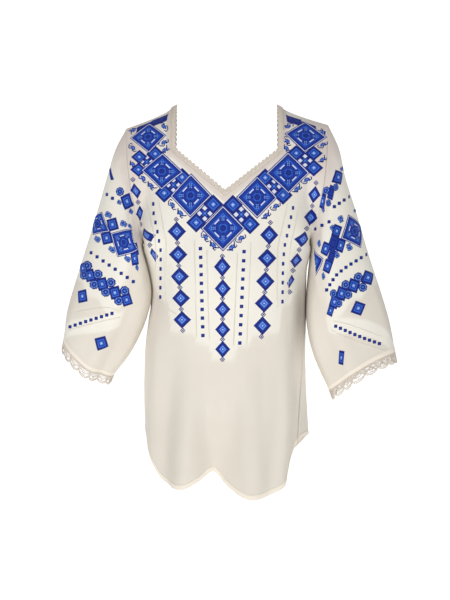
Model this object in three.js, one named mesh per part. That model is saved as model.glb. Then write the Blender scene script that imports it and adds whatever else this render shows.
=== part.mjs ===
// A pull-on blouse with wide three-quarter sleeves, standing in its worn form with nobody in it.
// Millimetres, +Z up, the front faces -Y and +X is the wearer's left side.
// The origin lies midway between the two neck points, where the shoulders carry the blouse.

import * as THREE from 'three';

// Cloth and seams.
const clothWall = 1.6;
const laceWall = 1.2;
const seamGap = 0.3;

// How finely the panels are divided.
const bodyRows = 12;
const yokeRows = 10;
const cornerRow = 6;
const strapColumns = 8;
const neckSlopeColumns = 10;
const rowsPerSleeveRing = 2;

// The body below the underarm: how far it reaches to each side, forwards and backwards.
const underarmZ = -245;
const bodyRoundness = 0.87;
const bodySections = [
  { z: underarmZ, left: 149.5, right: 149.5, front: 121, back: 106 },
  { z: -290, left: 146.5, right: 142, front: 127, back: 109 },
  { z: -335, left: 146, right: 136, front: 126, back: 107 },
  { z: -385, left: 146, right: 144, front: 121, back: 103 },
  { z: -440, left: 144.5, right: 151, front: 116, back: 100 },
  { z: -540, left: 143.5, right: 153.5, front: 112, back: 101 },
  { z: -700, left: 147, right: 147, front: 111, back: 106 },
];

// Hanging folds of each panel: a ridge where depth is positive, a trough where it is negative.
// across runs from -1 at the right side seam to 1 at the left; a fold grows from its top to the hem.
const bodyFolds = {
  front: [
    { across: -0.66, depth: 5, width: 0.1, top: -400 },
    { across: -0.42, depth: -7, width: 0.1, top: -400 },
    { across: -0.18, depth: 13, width: 0.15, top: -440 },
    { across: 0.09, depth: -25, width: 0.13, top: -450 },
    { across: 0.37, depth: 15, width: 0.14, top: -440 },
    { across: 0.68, depth: 7, width: 0.1, top: -430 },
    { across: 0.88, depth: -9, width: 0.1, top: -360 },
  ],
  back: [
    { across: 0.76, depth: 8, width: 0.12, top: -380 },
    { across: 0.47, depth: -13, width: 0.11, top: -420 },
    { across: 0.2, depth: 12, width: 0.12, top: -400 },
    { across: -0.08, depth: -16, width: 0.11, top: -360 },
    { across: -0.36, depth: 12, width: 0.13, top: -420 },
    { across: -0.66, depth: -9, width: 0.11, top: -440 },
  ],
};

const foldsFullZ = -660;

// The shirt-tail hem, short at the side seams, and where the left side seam runs there.
const leftSeamTurnAtHem = 61;
const hemCurve = [
  { turn: -90, z: -590 },
  { turn: -78, z: -598 },
  { turn: -68, z: -620 },
  { turn: -58, z: -654 },
  { turn: -50, z: -675 },
  { turn: -28, z: -683 },
  { turn: -18, z: -671 },
  { turn: -8, z: -655 },
  { turn: 3, z: -686 },
  { turn: 14, z: -699 },
  { turn: 39, z: -682 },
  { turn: 50, z: -656 },
  { turn: 61, z: -608 },
  { turn: 90, z: -605 },
  { turn: 112, z: -640 },
  { turn: 138, z: -680 },
  { turn: 180, z: -692 },
  { turn: 222, z: -680 },
  { turn: 248, z: -640 },
  { turn: 262, z: -602 },
  { turn: 270, z: -590 },
];

// Shoulder seam and neckline, the same for both sides of the body.
const shoulderPoints = {
  left: { x: 185, y: 0, z: -32 },
  right: { x: 184, y: 0, z: -38.5 },
};
const neckPoint = { x: 100, y: 6, z: 0 };
const shoulderHollow = 0.75;
const neckAcross = 0.5;
const neckRise = 35;
const necklines = {
  front: { cornerX: 98.5, cornerZ: -84, middleX: -4, middleZ: -164 },
  back: { cornerX: 104, cornerZ: -86, middleX: 0, middleZ: -170 },
};

// The armhole, from the underarm up the front to the shoulder point and down the back.
const armholeFront = [
  { x: 150, y: 0, z: underarmZ },
  { x: 158, y: -46, z: -212 },
  { x: 172, y: -57, z: -150 },
  { x: 180, y: -42, z: -90 },
];
const underarmPower = 12;
const chestPower = 4;
const chestRise = 0.55;
const armholeBack = [
  { x: 180, y: 44, z: -90 },
  { x: 172, y: 59, z: -150 },
  { x: 158, y: 46, z: -212 },
];

// Sleeve rings from the armhole to the cuff. out is the outer edge and in is the edge beside the
// body; depth is half the ring's size from front to back, lean tips its front down the sleeve and
// arch draws its front and back up it.
const sleeves = {
  left: {
    side: 1,
    rings: [
      { outX: 205, outY: -1, outZ: -76, inX: 152.5, inY: -8, inZ: -262, depth: 55, lean: 0, arch: 0 },
      { outX: 217, outY: -1, outZ: -131, inX: 148.5, inY: -20, inZ: -300, depth: 54, lean: 0, arch: 0 },
      { outX: 237, outY: -2, outZ: -196, inX: 144.5, inY: -38, inZ: -345, depth: 51, lean: 0, arch: 0 },
      { outX: 260.5, outY: -4, outZ: -272, inX: 145, inY: -42, inZ: -392, depth: 48, lean: -2, arch: 0 },
      { outX: 281, outY: -8, outZ: -333, inX: 153.5, inY: -38, inZ: -438, depth: 45, lean: -4, arch: 3 },
      { outX: 298, outY: -14, outZ: -390, inX: 168.5, inY: -34, inZ: -478, depth: 42, lean: -5, arch: 6 },
      { outX: 308, outY: -24, outZ: -446, inX: 186, inY: -36, inZ: -515, depth: 38, lean: -4, arch: 8 },
    ],
  },
  right: {
    side: -1,
    rings: [
      { outX: 204.5, outY: -1, outZ: -78, inX: 151.5, inY: -10, inZ: -261, depth: 55, lean: 0, arch: 0 },
      { outX: 218.5, outY: -1, outZ: -128, inX: 142.5, inY: -32, inZ: -298, depth: 54, lean: 2, arch: 0 },
      { outX: 236, outY: -3, outZ: -192, inX: 138, inY: -46, inZ: -338, depth: 52, lean: 5, arch: 0 },
      { outX: 258.5, outY: -4, outZ: -262, inX: 145, inY: -42, inZ: -376, depth: 51, lean: 8, arch: 0 },
      { outX: 278, outY: -3, outZ: -320, inX: 161, inY: -26, inZ: -418, depth: 50, lean: 12, arch: 0 },
      { outX: 293, outY: 0, outZ: -370, inX: 183.5, inY: -14, inZ: -458, depth: 48, lean: 16, arch: 0 },
      { outX: 300, outY: 4, outZ: -419, inX: 209.5, inY: -4, inZ: -491, depth: 46, lean: 19, arch: 0 },
    ],
  },
};

// Soft folds that run down the sleeves: share is the place round the sleeve, 0.25 at the front.
const sleeveFolds = [
  { share: 0.12, depth: -6, width: 0.05 },
  { share: 0.2, depth: 4, width: 0.05 },
  { share: 0.66, depth: -5, width: 0.05 },
  { share: 0.8, depth: 5, width: 0.06 },
];
const sleeveFoldTop = 1.5;
const sleeveFoldFull = 4;

// Lace at the neck and at the cuffs.
const neckLaceWidth = 9;
const neckLaceLift = 5;
const neckLaceRows = 2;
const cuffLaceDepth = 20;
const cuffLaceFlare = -0.08;
const cuffLaceFall = 0.5;
const laceRepeats = 8;
const repeatColumns = 6;
const scallopDepth = 0.2;
const neckLaceLean = 3;

const degrees = Math.PI / 180;

function smoothstep(low, high, value) {
  const t = Math.min(Math.max((value - low) / (high - low), 0), 1);
  return t * t * (3 - 2 * t);
}

function toVector(point) {
  return new THREE.Vector3(point.x, point.y, point.z);
}

// A smooth curve through one column of a table, read at any place along another column.
function tableValue(rows, placeKey, key, place) {
  const rising = rows[1][placeKey] > rows[0][placeKey];
  const passed = (row) => (rising ? row[placeKey] <= place : row[placeKey] >= place);
  let index = rows.findLastIndex(passed);
  index = Math.min(Math.max(index, 0), rows.length - 2);
  const low = rows[index];
  const high = rows[index + 1];
  const span = high[placeKey] - low[placeKey];
  const slopeAt = (i) => {
    const before = rows[Math.max(i - 1, 0)];
    const after = rows[Math.min(i + 1, rows.length - 1)];
    return (after[key] - before[key]) / (after[placeKey] - before[placeKey]);
  };
  const t = Math.min(Math.max((place - low[placeKey]) / span, 0), 1);
  const t2 = t * t;
  const t3 = t2 * t;
  return (2 * t3 - 3 * t2 + 1) * low[key] + (t3 - 2 * t2 + t) * span * slopeAt(index)
    + (3 * t2 - 2 * t3) * high[key] + (t3 - t2) * span * slopeAt(index + 1);
}

function hermitePoint(start, startTangent, end, endTangent, t) {
  const t2 = t * t;
  const t3 = t2 * t;
  return new THREE.Vector3()
    .addScaledVector(start, 2 * t3 - 3 * t2 + 1)
    .addScaledVector(startTangent, t3 - 2 * t2 + t)
    .addScaledVector(end, 3 * t2 - 2 * t3)
    .addScaledVector(endTangent, t3 - t2);
}

// ---- the body ----

function signedPower(value, power) {
  return Math.sign(value) * Math.abs(value) ** power;
}

function hemZ(turn) {
  return tableValue(hemCurve, 'turn', 'z', turn);
}

// How far the folds push the cloth out at one place.
function foldOffset(folds, z, across) {
  let offset = 0;
  for (const fold of folds) {
    const away = (across - fold.across) / fold.width;
    offset += fold.depth * smoothstep(fold.top, foldsFullZ, z) * Math.exp(-away * away);
  }
  return offset;
}

// One point of the body below the underarm. turn runs from -90 through 0 at the front to 270.
function bodyPoint(z, turn, offset = 0) {
  const sine = signedPower(Math.sin(turn * degrees), bodyRoundness);
  const cosine = signedPower(Math.cos(turn * degrees), bodyRoundness);
  const width = tableValue(bodySections, 'z', sine > 0 ? 'left' : 'right', z);
  const depth = tableValue(bodySections, 'z', cosine > 0 ? 'front' : 'back', z);
  const outward = new THREE.Vector2(sine / width, -cosine / depth).normalize();
  return new THREE.Vector3(width * sine + outward.x * offset, -depth * cosine + outward.y * offset, z);
}

// The angle of a column at one height. across is -1 at the right side seam and 1 at the left.
function columnTurn(half, across, fall) {
  const leftSeam = THREE.MathUtils.lerp(90, leftSeamTurnAtHem, fall);
  const share = (across + 1) / 2;
  return half === 'front'
    ? THREE.MathUtils.lerp(-90, leftSeam, share)
    : THREE.MathUtils.lerp(270, leftSeam, share);
}

function lowerBodyPoint(half, across, rise) {
  const turn = columnTurn(half, across, 1 - rise);
  const z = THREE.MathUtils.lerp(hemZ(turn), underarmZ, rise);
  return bodyPoint(z, turn, foldOffset(bodyFolds[half], z, across));
}

// The ridge that a panel's cloth would reach with no neck opening cut in it.
function ridgePoint(across) {
  const side = across < 0 ? -1 : 1;
  const shoulder = side > 0 ? shoulderPoints.left : shoulderPoints.right;
  const place = Math.abs(across);
  const { lerp } = THREE.MathUtils;
  if (place < neckAcross) {
    const t = place / neckAcross;
    return new THREE.Vector3(side * neckPoint.x * t, neckPoint.y, neckPoint.z + neckRise * (1 - t));
  }
  const t = (place - neckAcross) / (1 - neckAcross);
  const x = lerp(neckPoint.x, shoulder.x, t);
  const z = neckPoint.z + (shoulder.z - neckPoint.z) * t ** shoulderHollow;
  return new THREE.Vector3(side * x, lerp(neckPoint.y, shoulder.y, t), z);
}

const armholeCurves = {};
for (const [name, shoulder] of Object.entries(shoulderPoints)) {
  const points = [...armholeFront, shoulder, ...armholeBack].map(toVector);
  armholeCurves[name] = new THREE.CatmullRomCurve3(points, true, 'catmullrom', 0.5);
}

// The armhole edge at one share of its round: 0 under the arm, 0.5 on the shoulder.
function armholePoint(side, share) {
  const point = armholeCurves[side > 0 ? 'left' : 'right'].getPoint(share);
  point.x *= side;
  return point;
}

// A column of whole cloth between the underarm line and the ridge, before the armhole shapes it.
function columnPoint(half, across, rise) {
  const turn = columnTurn(half, across, 0);
  const start = bodyPoint(underarmZ, turn);
  const below = bodyPoint(underarmZ - 1, turn);
  const end = ridgePoint(across);
  const length = start.distanceTo(end);
  const startTangent = start.clone().sub(below).multiplyScalar(length);
  const endTangent = new THREE.Vector3(0, half === 'front' ? length : -length, 0);
  return hermitePoint(start, startTangent, end, endTangent, rise);
}

// The armhole draws the cloth beside it outwards, further in at the chest than under the arm.
function wholeYokePoint(half, across, rise) {
  const side = across < 0 ? -1 : 1;
  const share = half === 'front' ? rise / 2 : 1 - rise / 2;
  const pull = armholePoint(side, share).sub(columnPoint(half, side, rise));
  const power = THREE.MathUtils.lerp(underarmPower, chestPower, smoothstep(0, chestRise, rise));
  return columnPoint(half, across, rise).addScaledVector(pull, Math.abs(across) ** power);
}

// The place on the whole yoke at a given rise that lies at x, found by closing in on it.
function placeAtX(half, x, rise) {
  const place = { across: neckAcross * x / neckPoint.x, rise };
  for (let round = 0; round < 20; round += 1) {
    place.across += (x - wholeYokePoint(half, place.across, rise).x) / 220;
  }
  return place;
}

// The place on the whole yoke that lies at x and z.
function placeAt(half, x, z) {
  const place = { across: neckAcross * x / neckPoint.x, rise: 0.5 };
  for (let round = 0; round < 40; round += 1) {
    const point = wholeYokePoint(half, place.across, place.rise);
    place.across += (x - point.x) / 220;
    place.rise += (z - point.z) / 320;
  }
  return place;
}

function lerpPlace(from, to, t) {
  return {
    across: THREE.MathUtils.lerp(from.across, to.across, t),
    rise: THREE.MathUtils.lerp(from.rise, to.rise, t),
  };
}

// The neckline: down each side of the neck to a corner, and from there on a slope to the middle.
function necklineCorner(half, side) {
  const neck = necklines[half];
  return placeAt(half, side * neck.cornerX, neck.cornerZ);
}

function neckSlopePlace(half, across) {
  const neck = necklines[half];
  const t = 1 - Math.abs(across) / neckAcross;
  const x = THREE.MathUtils.lerp((across < 0 ? -1 : 1) * neck.cornerX, neck.middleX, t);
  return placeAt(half, x, THREE.MathUtils.lerp(neck.cornerZ, neck.middleZ, t));
}

function neckSidePlace(half, side, row) {
  const t = (row - cornerRow) / (yokeRows - cornerRow);
  const x = THREE.MathUtils.lerp(necklines[half].cornerX, neckPoint.x, t);
  return placeAtX(half, side * x, THREE.MathUtils.lerp(necklineCorner(half, side).rise, 1, t));
}

// A panel's own rows and columns on the whole yoke. Below the neckline's corners the rows run
// right across, and above them they run from the neck to the armhole.
function yokePlace(half, across, row) {
  const size = Math.abs(across);
  if (size < neckAcross) {
    return lerpPlace({ across, rise: 0 }, neckSlopePlace(half, across), Math.min(row / cornerRow, 1));
  }
  const side = across < 0 ? -1 : 1;
  const nearNeck = row <= cornerRow
    ? lerpPlace({ across: side * neckAcross, rise: 0 }, necklineCorner(half, side), row / cornerRow)
    : neckSidePlace(half, side, row);
  const atArmhole = { across: side, rise: row / yokeRows };
  return lerpPlace(nearNeck, atArmhole, (size - neckAcross) / (1 - neckAcross));
}

function yokePoint(half, across, row) {
  const place = yokePlace(half, across, row);
  return wholeYokePoint(half, place.across, place.rise);
}

// The columns of a panel, as places across it from the right side seam to the left.
function panelColumns() {
  const half = [];
  for (let i = 0; i < strapColumns; i += 1) half.push(1 - (1 - neckAcross) * i / strapColumns);
  for (let i = 0; i < neckSlopeColumns; i += 1) half.push(neckAcross * (1 - i / neckSlopeColumns));
  return [...half.map((across) => -across), 0, ...half.reverse()];
}

const columns = panelColumns();
const lastColumn = columns.length - 1;
const lastRow = bodyRows + yokeRows;

function panelGrid(half) {
  const rows = [];
  for (let row = 0; row < bodyRows; row += 1) {
    rows.push(columns.map((across) => lowerBodyPoint(half, across, row / bodyRows)));
  }
  for (let row = 0; row <= yokeRows; row += 1) {
    rows.push(columns.map((across) => yokePoint(half, across, row)));
  }
  return rows;
}

function inNeckOpening(row, column) {
  return row >= bodyRows + cornerRow && column >= strapColumns && column < lastColumn - strapColumns;
}

// ---- the sleeves ----

// A ring's own frame: its middle, and the arrows to its outer edge and to its front.
function ringFrame(side, ring) {
  const outer = new THREE.Vector3(side * ring.outX, ring.outY, ring.outZ);
  const inner = new THREE.Vector3(side * ring.inX, ring.inY, ring.inZ);
  const middle = outer.clone().add(inner).multiplyScalar(0.5);
  const reach = outer.clone().sub(inner).multiplyScalar(0.5);
  const down = reach.clone().cross(new THREE.Vector3(0, -1, 0)).normalize().multiplyScalar(side);
  const front = new THREE.Vector3().crossVectors(down, reach).normalize().multiplyScalar(side);
  front.multiplyScalar(Math.cos(ring.lean * degrees));
  front.addScaledVector(down, Math.sin(ring.lean * degrees)).multiplyScalar(ring.depth);
  return { middle, reach, front, rise: down.multiplyScalar(-ring.arch) };
}

function ringPoint(frame, share, growth) {
  const angle = share * 2 * Math.PI;
  const arrow = frame.reach.clone().multiplyScalar(-Math.cos(angle));
  arrow.addScaledVector(frame.front, Math.sin(angle));
  let offset = 0;
  for (const fold of sleeveFolds) {
    const away = (share - fold.share) / fold.width;
    offset += fold.depth * growth * Math.exp(-away * away);
  }
  arrow.setLength(arrow.length() + offset).add(frame.middle);
  return arrow.addScaledVector(frame.rise, Math.sin(angle) ** 2);
}

// The shares of the round where the sleeve meets the rows of the front and of the back.
const ringShares = [];
for (let row = 0; row < yokeRows; row += 1) ringShares.push(row / yokeRows / 2);
for (let row = 0; row < yokeRows; row += 1) ringShares.push(0.5 + row / yokeRows / 2);

function sleeveGrid({ side, rings }) {
  const frames = rings.map((ring) => ringFrame(side, ring));
  const rows = [];
  for (let row = 0; row <= rings.length * rowsPerSleeveRing; row += 1) rows.push([]);
  for (const share of ringShares) {
    const growths = frames.map((frame, i) => smoothstep(sleeveFoldTop, sleeveFoldFull, i + 1));
    const points = frames.map((frame, i) => ringPoint(frame, share, growths[i]));
    points.unshift(armholePoint(side, share));
    const lengthwise = new THREE.CatmullRomCurve3(points, false, 'catmullrom', 0.5);
    rows.forEach((row, i) => row.push(lengthwise.getPoint(i / (rows.length - 1))));
  }
  return rows;
}

// ---- walls ----

// Directions out of the cloth at each point of a grid, from the cells that are there.
function gridNormals(grid, { closed = false, outwards = 1, skip = () => false }) {
  const normals = grid.map((row) => row.map(() => new THREE.Vector3()));
  const width = grid[0].length;
  for (let j = 0; j < grid.length - 1; j += 1) {
    for (let i = 0; i < (closed ? width : width - 1); i += 1) {
      if (skip(j, i)) continue;
      const right = (i + 1) % width;
      const rising = grid[j + 1][right].clone().sub(grid[j][i]);
      const falling = grid[j + 1][i].clone().sub(grid[j][right]);
      const cellNormal = rising.cross(falling).multiplyScalar(outwards);
      for (const normal of [normals[j][i], normals[j][right], normals[j + 1][i], normals[j + 1][right]]) {
        normal.add(cellNormal);
      }
    }
  }
  return normals.map((row) => row.map((normal) => normal.normalize()));
}

// A closed wall between two grids of points. Cells that skip names are left open.
function wallGeometry(outer, inner, { closed = false, outwards = 1, skip = () => false }) {
  const rows = outer.length;
  const width = outer[0].length;
  const cellsAcross = closed ? width : width - 1;
  const points = [...outer.flat(), ...inner.flat()];
  const index = [];
  const vertex = (layer, j, i) => layer * rows * width + j * width + (i % width);
  const kept = (j, i) => {
    const column = closed ? (i + cellsAcross) % cellsAcross : i;
    return j >= 0 && j < rows - 1 && column >= 0 && column < cellsAcross && !skip(j, column);
  };
  const addQuad = (a, b, c, d) => {
    if (outwards > 0) index.push(a, b, c, a, c, d);
    else index.push(a, c, b, a, d, c);
  };
  // A strip across the wall's edge. Its diagonal leans the same way in both pieces of a seam.
  const addEdge = (innerA, innerB, outerB, outerA) => {
    if (points[outerA].z <= points[outerB].z) addQuad(innerA, innerB, outerB, outerA);
    else addQuad(innerB, outerB, outerA, innerA);
  };
  for (let j = 0; j < rows - 1; j += 1) {
    for (let i = 0; i < cellsAcross; i += 1) {
      if (!kept(j, i)) continue;
      const corners = [[j, i], [j, i + 1], [j + 1, i + 1], [j + 1, i]];
      const [a, b, c, d] = corners.map(([row, column]) => vertex(0, row, column));
      const [e, f, g, h] = corners.map(([row, column]) => vertex(1, row, column));
      // Both faces of a cell split along the shorter diagonal.
      if (points[a].distanceTo(points[c]) <= points[b].distanceTo(points[d])) {
        addQuad(a, b, c, d);
        addQuad(g, f, e, h);
      } else {
        addQuad(b, c, d, a);
        addQuad(h, g, f, e);
      }
      if (!kept(j - 1, i)) addEdge(e, f, b, a);
      if (!kept(j, i + 1)) addEdge(f, g, c, b);
      if (!kept(j + 1, i)) addEdge(g, h, d, c);
      if (!kept(j, i - 1)) addEdge(h, e, a, d);
    }
  }
  const positions = points.flatMap((point) => point.toArray());
  const geometry = new THREE.BufferGeometry();
  geometry.setAttribute('position', new THREE.Float32BufferAttribute(positions, 3));
  geometry.setIndex(index);
  geometry.computeVertexNormals();
  return geometry;
}

function offsetGrid(grid, normals, thickness) {
  return grid.map((row, j) => row.map((point, i) => point.clone().addScaledVector(normals[j][i], -thickness)));
}

const panels = {};
for (const half of ['front', 'back']) {
  const options = { outwards: half === 'front' ? 1 : -1, skip: inNeckOpening };
  const grid = panelGrid(half);
  panels[half] = { grid, options, normals: gridNormals(grid, options) };
}

const sleeveWalls = {};
for (const [name, sleeve] of Object.entries(sleeves)) {
  const options = { outwards: -sleeve.side, closed: true };
  const grid = sleeveGrid(sleeve);
  sleeveWalls[name] = { side: sleeve.side, grid, options, normals: gridNormals(grid, options) };
}

// An edge point of a wall: the point, the direction out of the cloth there and the next point in.
function edgeAt({ grid, normals }, j, i, nextJ, nextI) {
  return { point: grid[j][i], normal: normals[j][i], next: grid[nextJ][nextI] };
}

// Edges that meet in a flat or ridged seam share one direction through the cloth. In a valley, as
// under the arm, each keeps its own, and where the cloth doubles back they also step apart.
function joinEdges(first, second) {
  const firstArrow = first.next.clone().sub(first.point).normalize();
  const secondArrow = second.next.clone().sub(second.point).normalize();
  const shared = 1 - smoothstep(0, 0.3, first.normal.dot(secondArrow));
  const step = -seamGap * Math.max(firstArrow.dot(secondArrow), 0);
  const firstOwn = first.normal.clone();
  first.normal.addScaledVector(second.normal, shared).normalize();
  second.normal.addScaledVector(firstOwn, shared).normalize();
  first.point.addScaledVector(first.normal, step);
  second.point.addScaledVector(second.normal, step);
}

const { front, back } = panels;

// Side seams and shoulder seams, where the front meets the back.
for (const [i, nextI] of [[0, 1], [lastColumn, lastColumn - 1]]) {
  for (let j = 0; j < bodyRows; j += 1) joinEdges(edgeAt(front, j, i, j, nextI), edgeAt(back, j, i, j, nextI));
}
columns.forEach((across, i) => {
  if (Math.abs(across) < neckAcross) return;
  joinEdges(edgeAt(front, lastRow, i, lastRow - 1, i), edgeAt(back, lastRow, i, lastRow - 1, i));
});

// Armhole seams, where each sleeve's first ring meets both panels.
function joinSleeve(sleeve) {
  const i = sleeve.side > 0 ? lastColumn : 0;
  const nextI = sleeve.side > 0 ? lastColumn - 1 : 1;
  ringShares.forEach((share, k) => {
    const rise = share <= 0.5 ? share * 2 : (1 - share) * 2;
    const j = bodyRows + Math.round(rise * yokeRows);
    if (share <= 0.5) joinEdges(edgeAt(front, j, i, j, nextI), edgeAt(sleeve, 0, k, 1, k));
    if (share >= 0.5 || share === 0) joinEdges(edgeAt(back, j, i, j, nextI), edgeAt(sleeve, 0, k, 1, k));
  });
}
joinSleeve(sleeveWalls.left);
joinSleeve(sleeveWalls.right);

// ---- lace ----

// The vertices of a panel round the neckline, from the right shoulder to the left, each with the
// next vertex into the cloth and its share of the way from the middle to the corner.
function necklineVertices() {
  const right = strapColumns;
  const left = lastColumn - strapColumns;
  const corner = bodyRows + cornerRow;
  const path = [];
  for (let j = lastRow; j > corner; j -= 1) path.push({ j, i: right, nextJ: j, nextI: right - 1, share: 1 });
  path.push({ j: corner, i: right, nextJ: corner - 1, nextI: right - 1, share: 1 });
  for (let i = right + 1; i < left; i += 1) {
    path.push({ j: corner, i, nextJ: corner - 1, nextI: i, share: Math.abs(columns[i]) / neckAcross });
  }
  path.push({ j: corner, i: left, nextJ: corner - 1, nextI: left + 1, share: 1 });
  for (let j = corner + 1; j <= lastRow; j += 1) path.push({ j, i: left, nextJ: j, nextI: left + 1, share: 1 });
  return path;
}
const neckline = necklineVertices();

// The neck lace follows the neckline and reaches inwards from it.
function neckLaceGrid(half) {
  const neck = necklines[half];
  const slope = Math.atan2(neck.cornerZ - neck.middleZ, neck.cornerX);
  const middleLift = neckLaceWidth / Math.cos(slope);
  const middleLean = (half === 'front' ? 1 : -1) * neckLaceLean;
  const rows = [];
  for (let row = 0; row <= neckLaceRows; row += 1) {
    rows.push(neckline.map(({ j, i, share }) => {
      const side = columns[i] < 0 ? -1 : 1;
      const lift = THREE.MathUtils.lerp(middleLift, neckLaceLift, share);
      const reach = new THREE.Vector3(-side * neckLaceWidth * share, middleLean * (1 - share), lift);
      return panels[half].grid[j][i].clone().addScaledVector(reach, row / neckLaceRows);
    }));
  }
  return rows;
}

const neckLaces = {};
for (const half of ['front', 'back']) {
  const options = { outwards: panels[half].options.outwards };
  const grid = neckLaceGrid(half);
  const lace = { grid, options, normals: gridNormals(grid, options) };
  neckline.forEach(({ j, i, nextJ, nextI }, k) => {
    joinEdges(edgeAt(panels[half], j, i, nextJ, nextI), edgeAt(lace, 0, k, 1, k));
  });
  neckLaces[half] = lace;
}
const lastLaceColumn = neckline.length - 1;
for (const [i, nextI] of [[0, 1], [lastLaceColumn, lastLaceColumn - 1]]) {
  for (let j = 0; j <= neckLaceRows; j += 1) {
    joinEdges(edgeAt(neckLaces.front, j, i, j, nextI), edgeAt(neckLaces.back, j, i, j, nextI));
  }
}

// The four pieces that meet at each neck point share one direction through the cloth.
for (const [column, laceColumn] of [[strapColumns, 0], [lastColumn - strapColumns, lastLaceColumn]]) {
  const meeting = [...Object.values(panels).map(({ normals }) => normals[lastRow][column]),
    ...Object.values(neckLaces).map(({ normals }) => normals[0][laceColumn])];
  const shared = new THREE.Vector3();
  for (const normal of meeting) shared.add(normal);
  for (const normal of meeting) normal.copy(shared).normalize();
}

// Every seam edge steps back by half the gap, towards the next point of its own piece.
function drawBack(grid, j, i, nextJ, nextI) {
  const arrow = grid[nextJ][nextI].clone().sub(grid[j][i]).normalize();
  grid[j][i].addScaledVector(arrow, seamGap / 2);
}

function drawBackSides(grid) {
  const last = grid[0].length - 1;
  grid.forEach((row, j) => {
    drawBack(grid, j, 0, j, 1);
    drawBack(grid, j, last, j, last - 1);
  });
}

for (const half of ['front', 'back']) {
  const { grid } = panels[half];
  neckline.forEach(({ j, i, nextJ, nextI }) => drawBack(grid, j, i, nextJ, nextI));
  columns.forEach((across, i) => {
    if (Math.abs(across) >= neckAcross) drawBack(grid, lastRow, i, lastRow - 1, i);
  });
  drawBackSides(grid);
  const lace = neckLaces[half].grid;
  lace[0].forEach((point, k) => drawBack(lace, 0, k, 1, k));
  drawBackSides(lace);
}

const group = new THREE.Group();

const clothWhite = { color: 0xefe9dd, roughness: 0.85, metalness: 0 };
const laceCream = { color: 0xe9dfce, roughness: 0.9, metalness: 0 };

function addWall(name, { grid, normals, options }, thickness, finish) {
  const geometry = wallGeometry(grid, offsetGrid(grid, normals, thickness), options);
  const mesh = new THREE.Mesh(geometry, new THREE.MeshStandardMaterial(finish));
  mesh.name = name;
  group.add(mesh);
}

// The lines of one lace repeat, as shares of its depth: a header, a net gap with a flat top, a bar,
// a slanted gap and the scalloped edge.
function laceLines(place) {
  const scallop = 1 - scallopDepth + scallopDepth * Math.sin(Math.PI * place);
  const bulge = Math.sin(Math.PI * Math.min(Math.max((place * repeatColumns - 1) / 3, 0), 1));
  return [0, 0.16, 0.36 + 0.1 * bulge, 0.56, (0.74 + 0.04 * bulge) * scallop, scallop];
}
const laceGaps = [
  { row: 1, from: 1, to: 4 },
  { row: 3, from: 2, to: 5 },
];
const laceSlantTop = 0.6;
const laceSlant = 0.06;

function ringOutward(frame, share) {
  const step = 0.005;
  const axis = frame.reach.clone().cross(frame.front).normalize();
  const tangent = ringPoint(frame, share + step, 1).sub(ringPoint(frame, share - step, 1)).normalize();
  return axis.cross(tangent).normalize();
}

function inLaceGap(row, column) {
  const place = column % repeatColumns;
  return laceGaps.some((gap) => gap.row === row && place >= gap.from && place < gap.to);
}

// Half of a cuff's lace, from one share of the round to another. It hangs from the sleeve's edge.
function cuffLace(side, frame, fromShare, toShare) {
  const down = frame.reach.clone().cross(frame.front).normalize().multiplyScalar(side);
  const fall = down.clone().lerp(new THREE.Vector3(0, 0, -1), cuffLaceFall).normalize();
  const count = laceRepeats * repeatColumns;
  const grid = [];
  const normals = [];
  for (let i = 0; i <= count; i += 1) {
    laceLines((i % repeatColumns) / repeatColumns).forEach((line, row) => {
      const slanted = line > laceSlantTop && i > 0 && i < count ? laceSlant * repeatColumns : 0;
      const share = THREE.MathUtils.lerp(fromShare, toShare, (i + slanted) / count);
      const outward = ringOutward(frame, share);
      const point = ringPoint(frame, share, 1).addScaledVector(down, seamGap / 2);
      point.addScaledVector(fall, line * cuffLaceDepth);
      point.addScaledVector(outward, line * cuffLaceDepth * cuffLaceFlare);
      grid[row] = [...(grid[row] ?? []), point];
      normals[row] = [...(normals[row] ?? []), outward];
    });
  }
  return { grid, normals, options: { outwards: -side, skip: inLaceGap } };
}

for (const half of ['front', 'back']) {
  addWall(half, panels[half], clothWall, clothWhite);
  addWall(`neck_lace_${half}`, neckLaces[half], laceWall, laceCream);
}
for (const [name, wall] of Object.entries(sleeveWalls)) {
  const { side, grid, normals } = wall;
  const cuffRing = sleeves[name].rings.at(-1);
  const cuffFrame = ringFrame(side, cuffRing);
  const cuffRow = grid.length - 1;
  ringShares.forEach((share, k) => {
    normals[cuffRow][k].copy(ringOutward(cuffFrame, share));
    drawBack(grid, 0, k, 1, k);
    drawBack(grid, cuffRow, k, cuffRow - 1, k);
  });
  addWall(`sleeve_${name}`, wall, clothWall, clothWhite);
  for (const [half, fromShare, toShare] of [['front', 0, 0.5], ['back', 0.5, 1]]) {
    const lace = cuffLace(side, cuffFrame, fromShare, toShare);
    drawBackSides(lace.grid);
    addWall(`cuff_lace_${name}_${half}`, lace, laceWall, laceCream);
  }
}

export default group;
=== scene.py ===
# An embroidered blouse in its worn form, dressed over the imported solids. Lengths below are in
# millimetres and become metres where a mesh is made.
import math

import bmesh
import bpy
import numpy as np
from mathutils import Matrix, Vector
from mathutils.bvhtree import BVHTree


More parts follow.
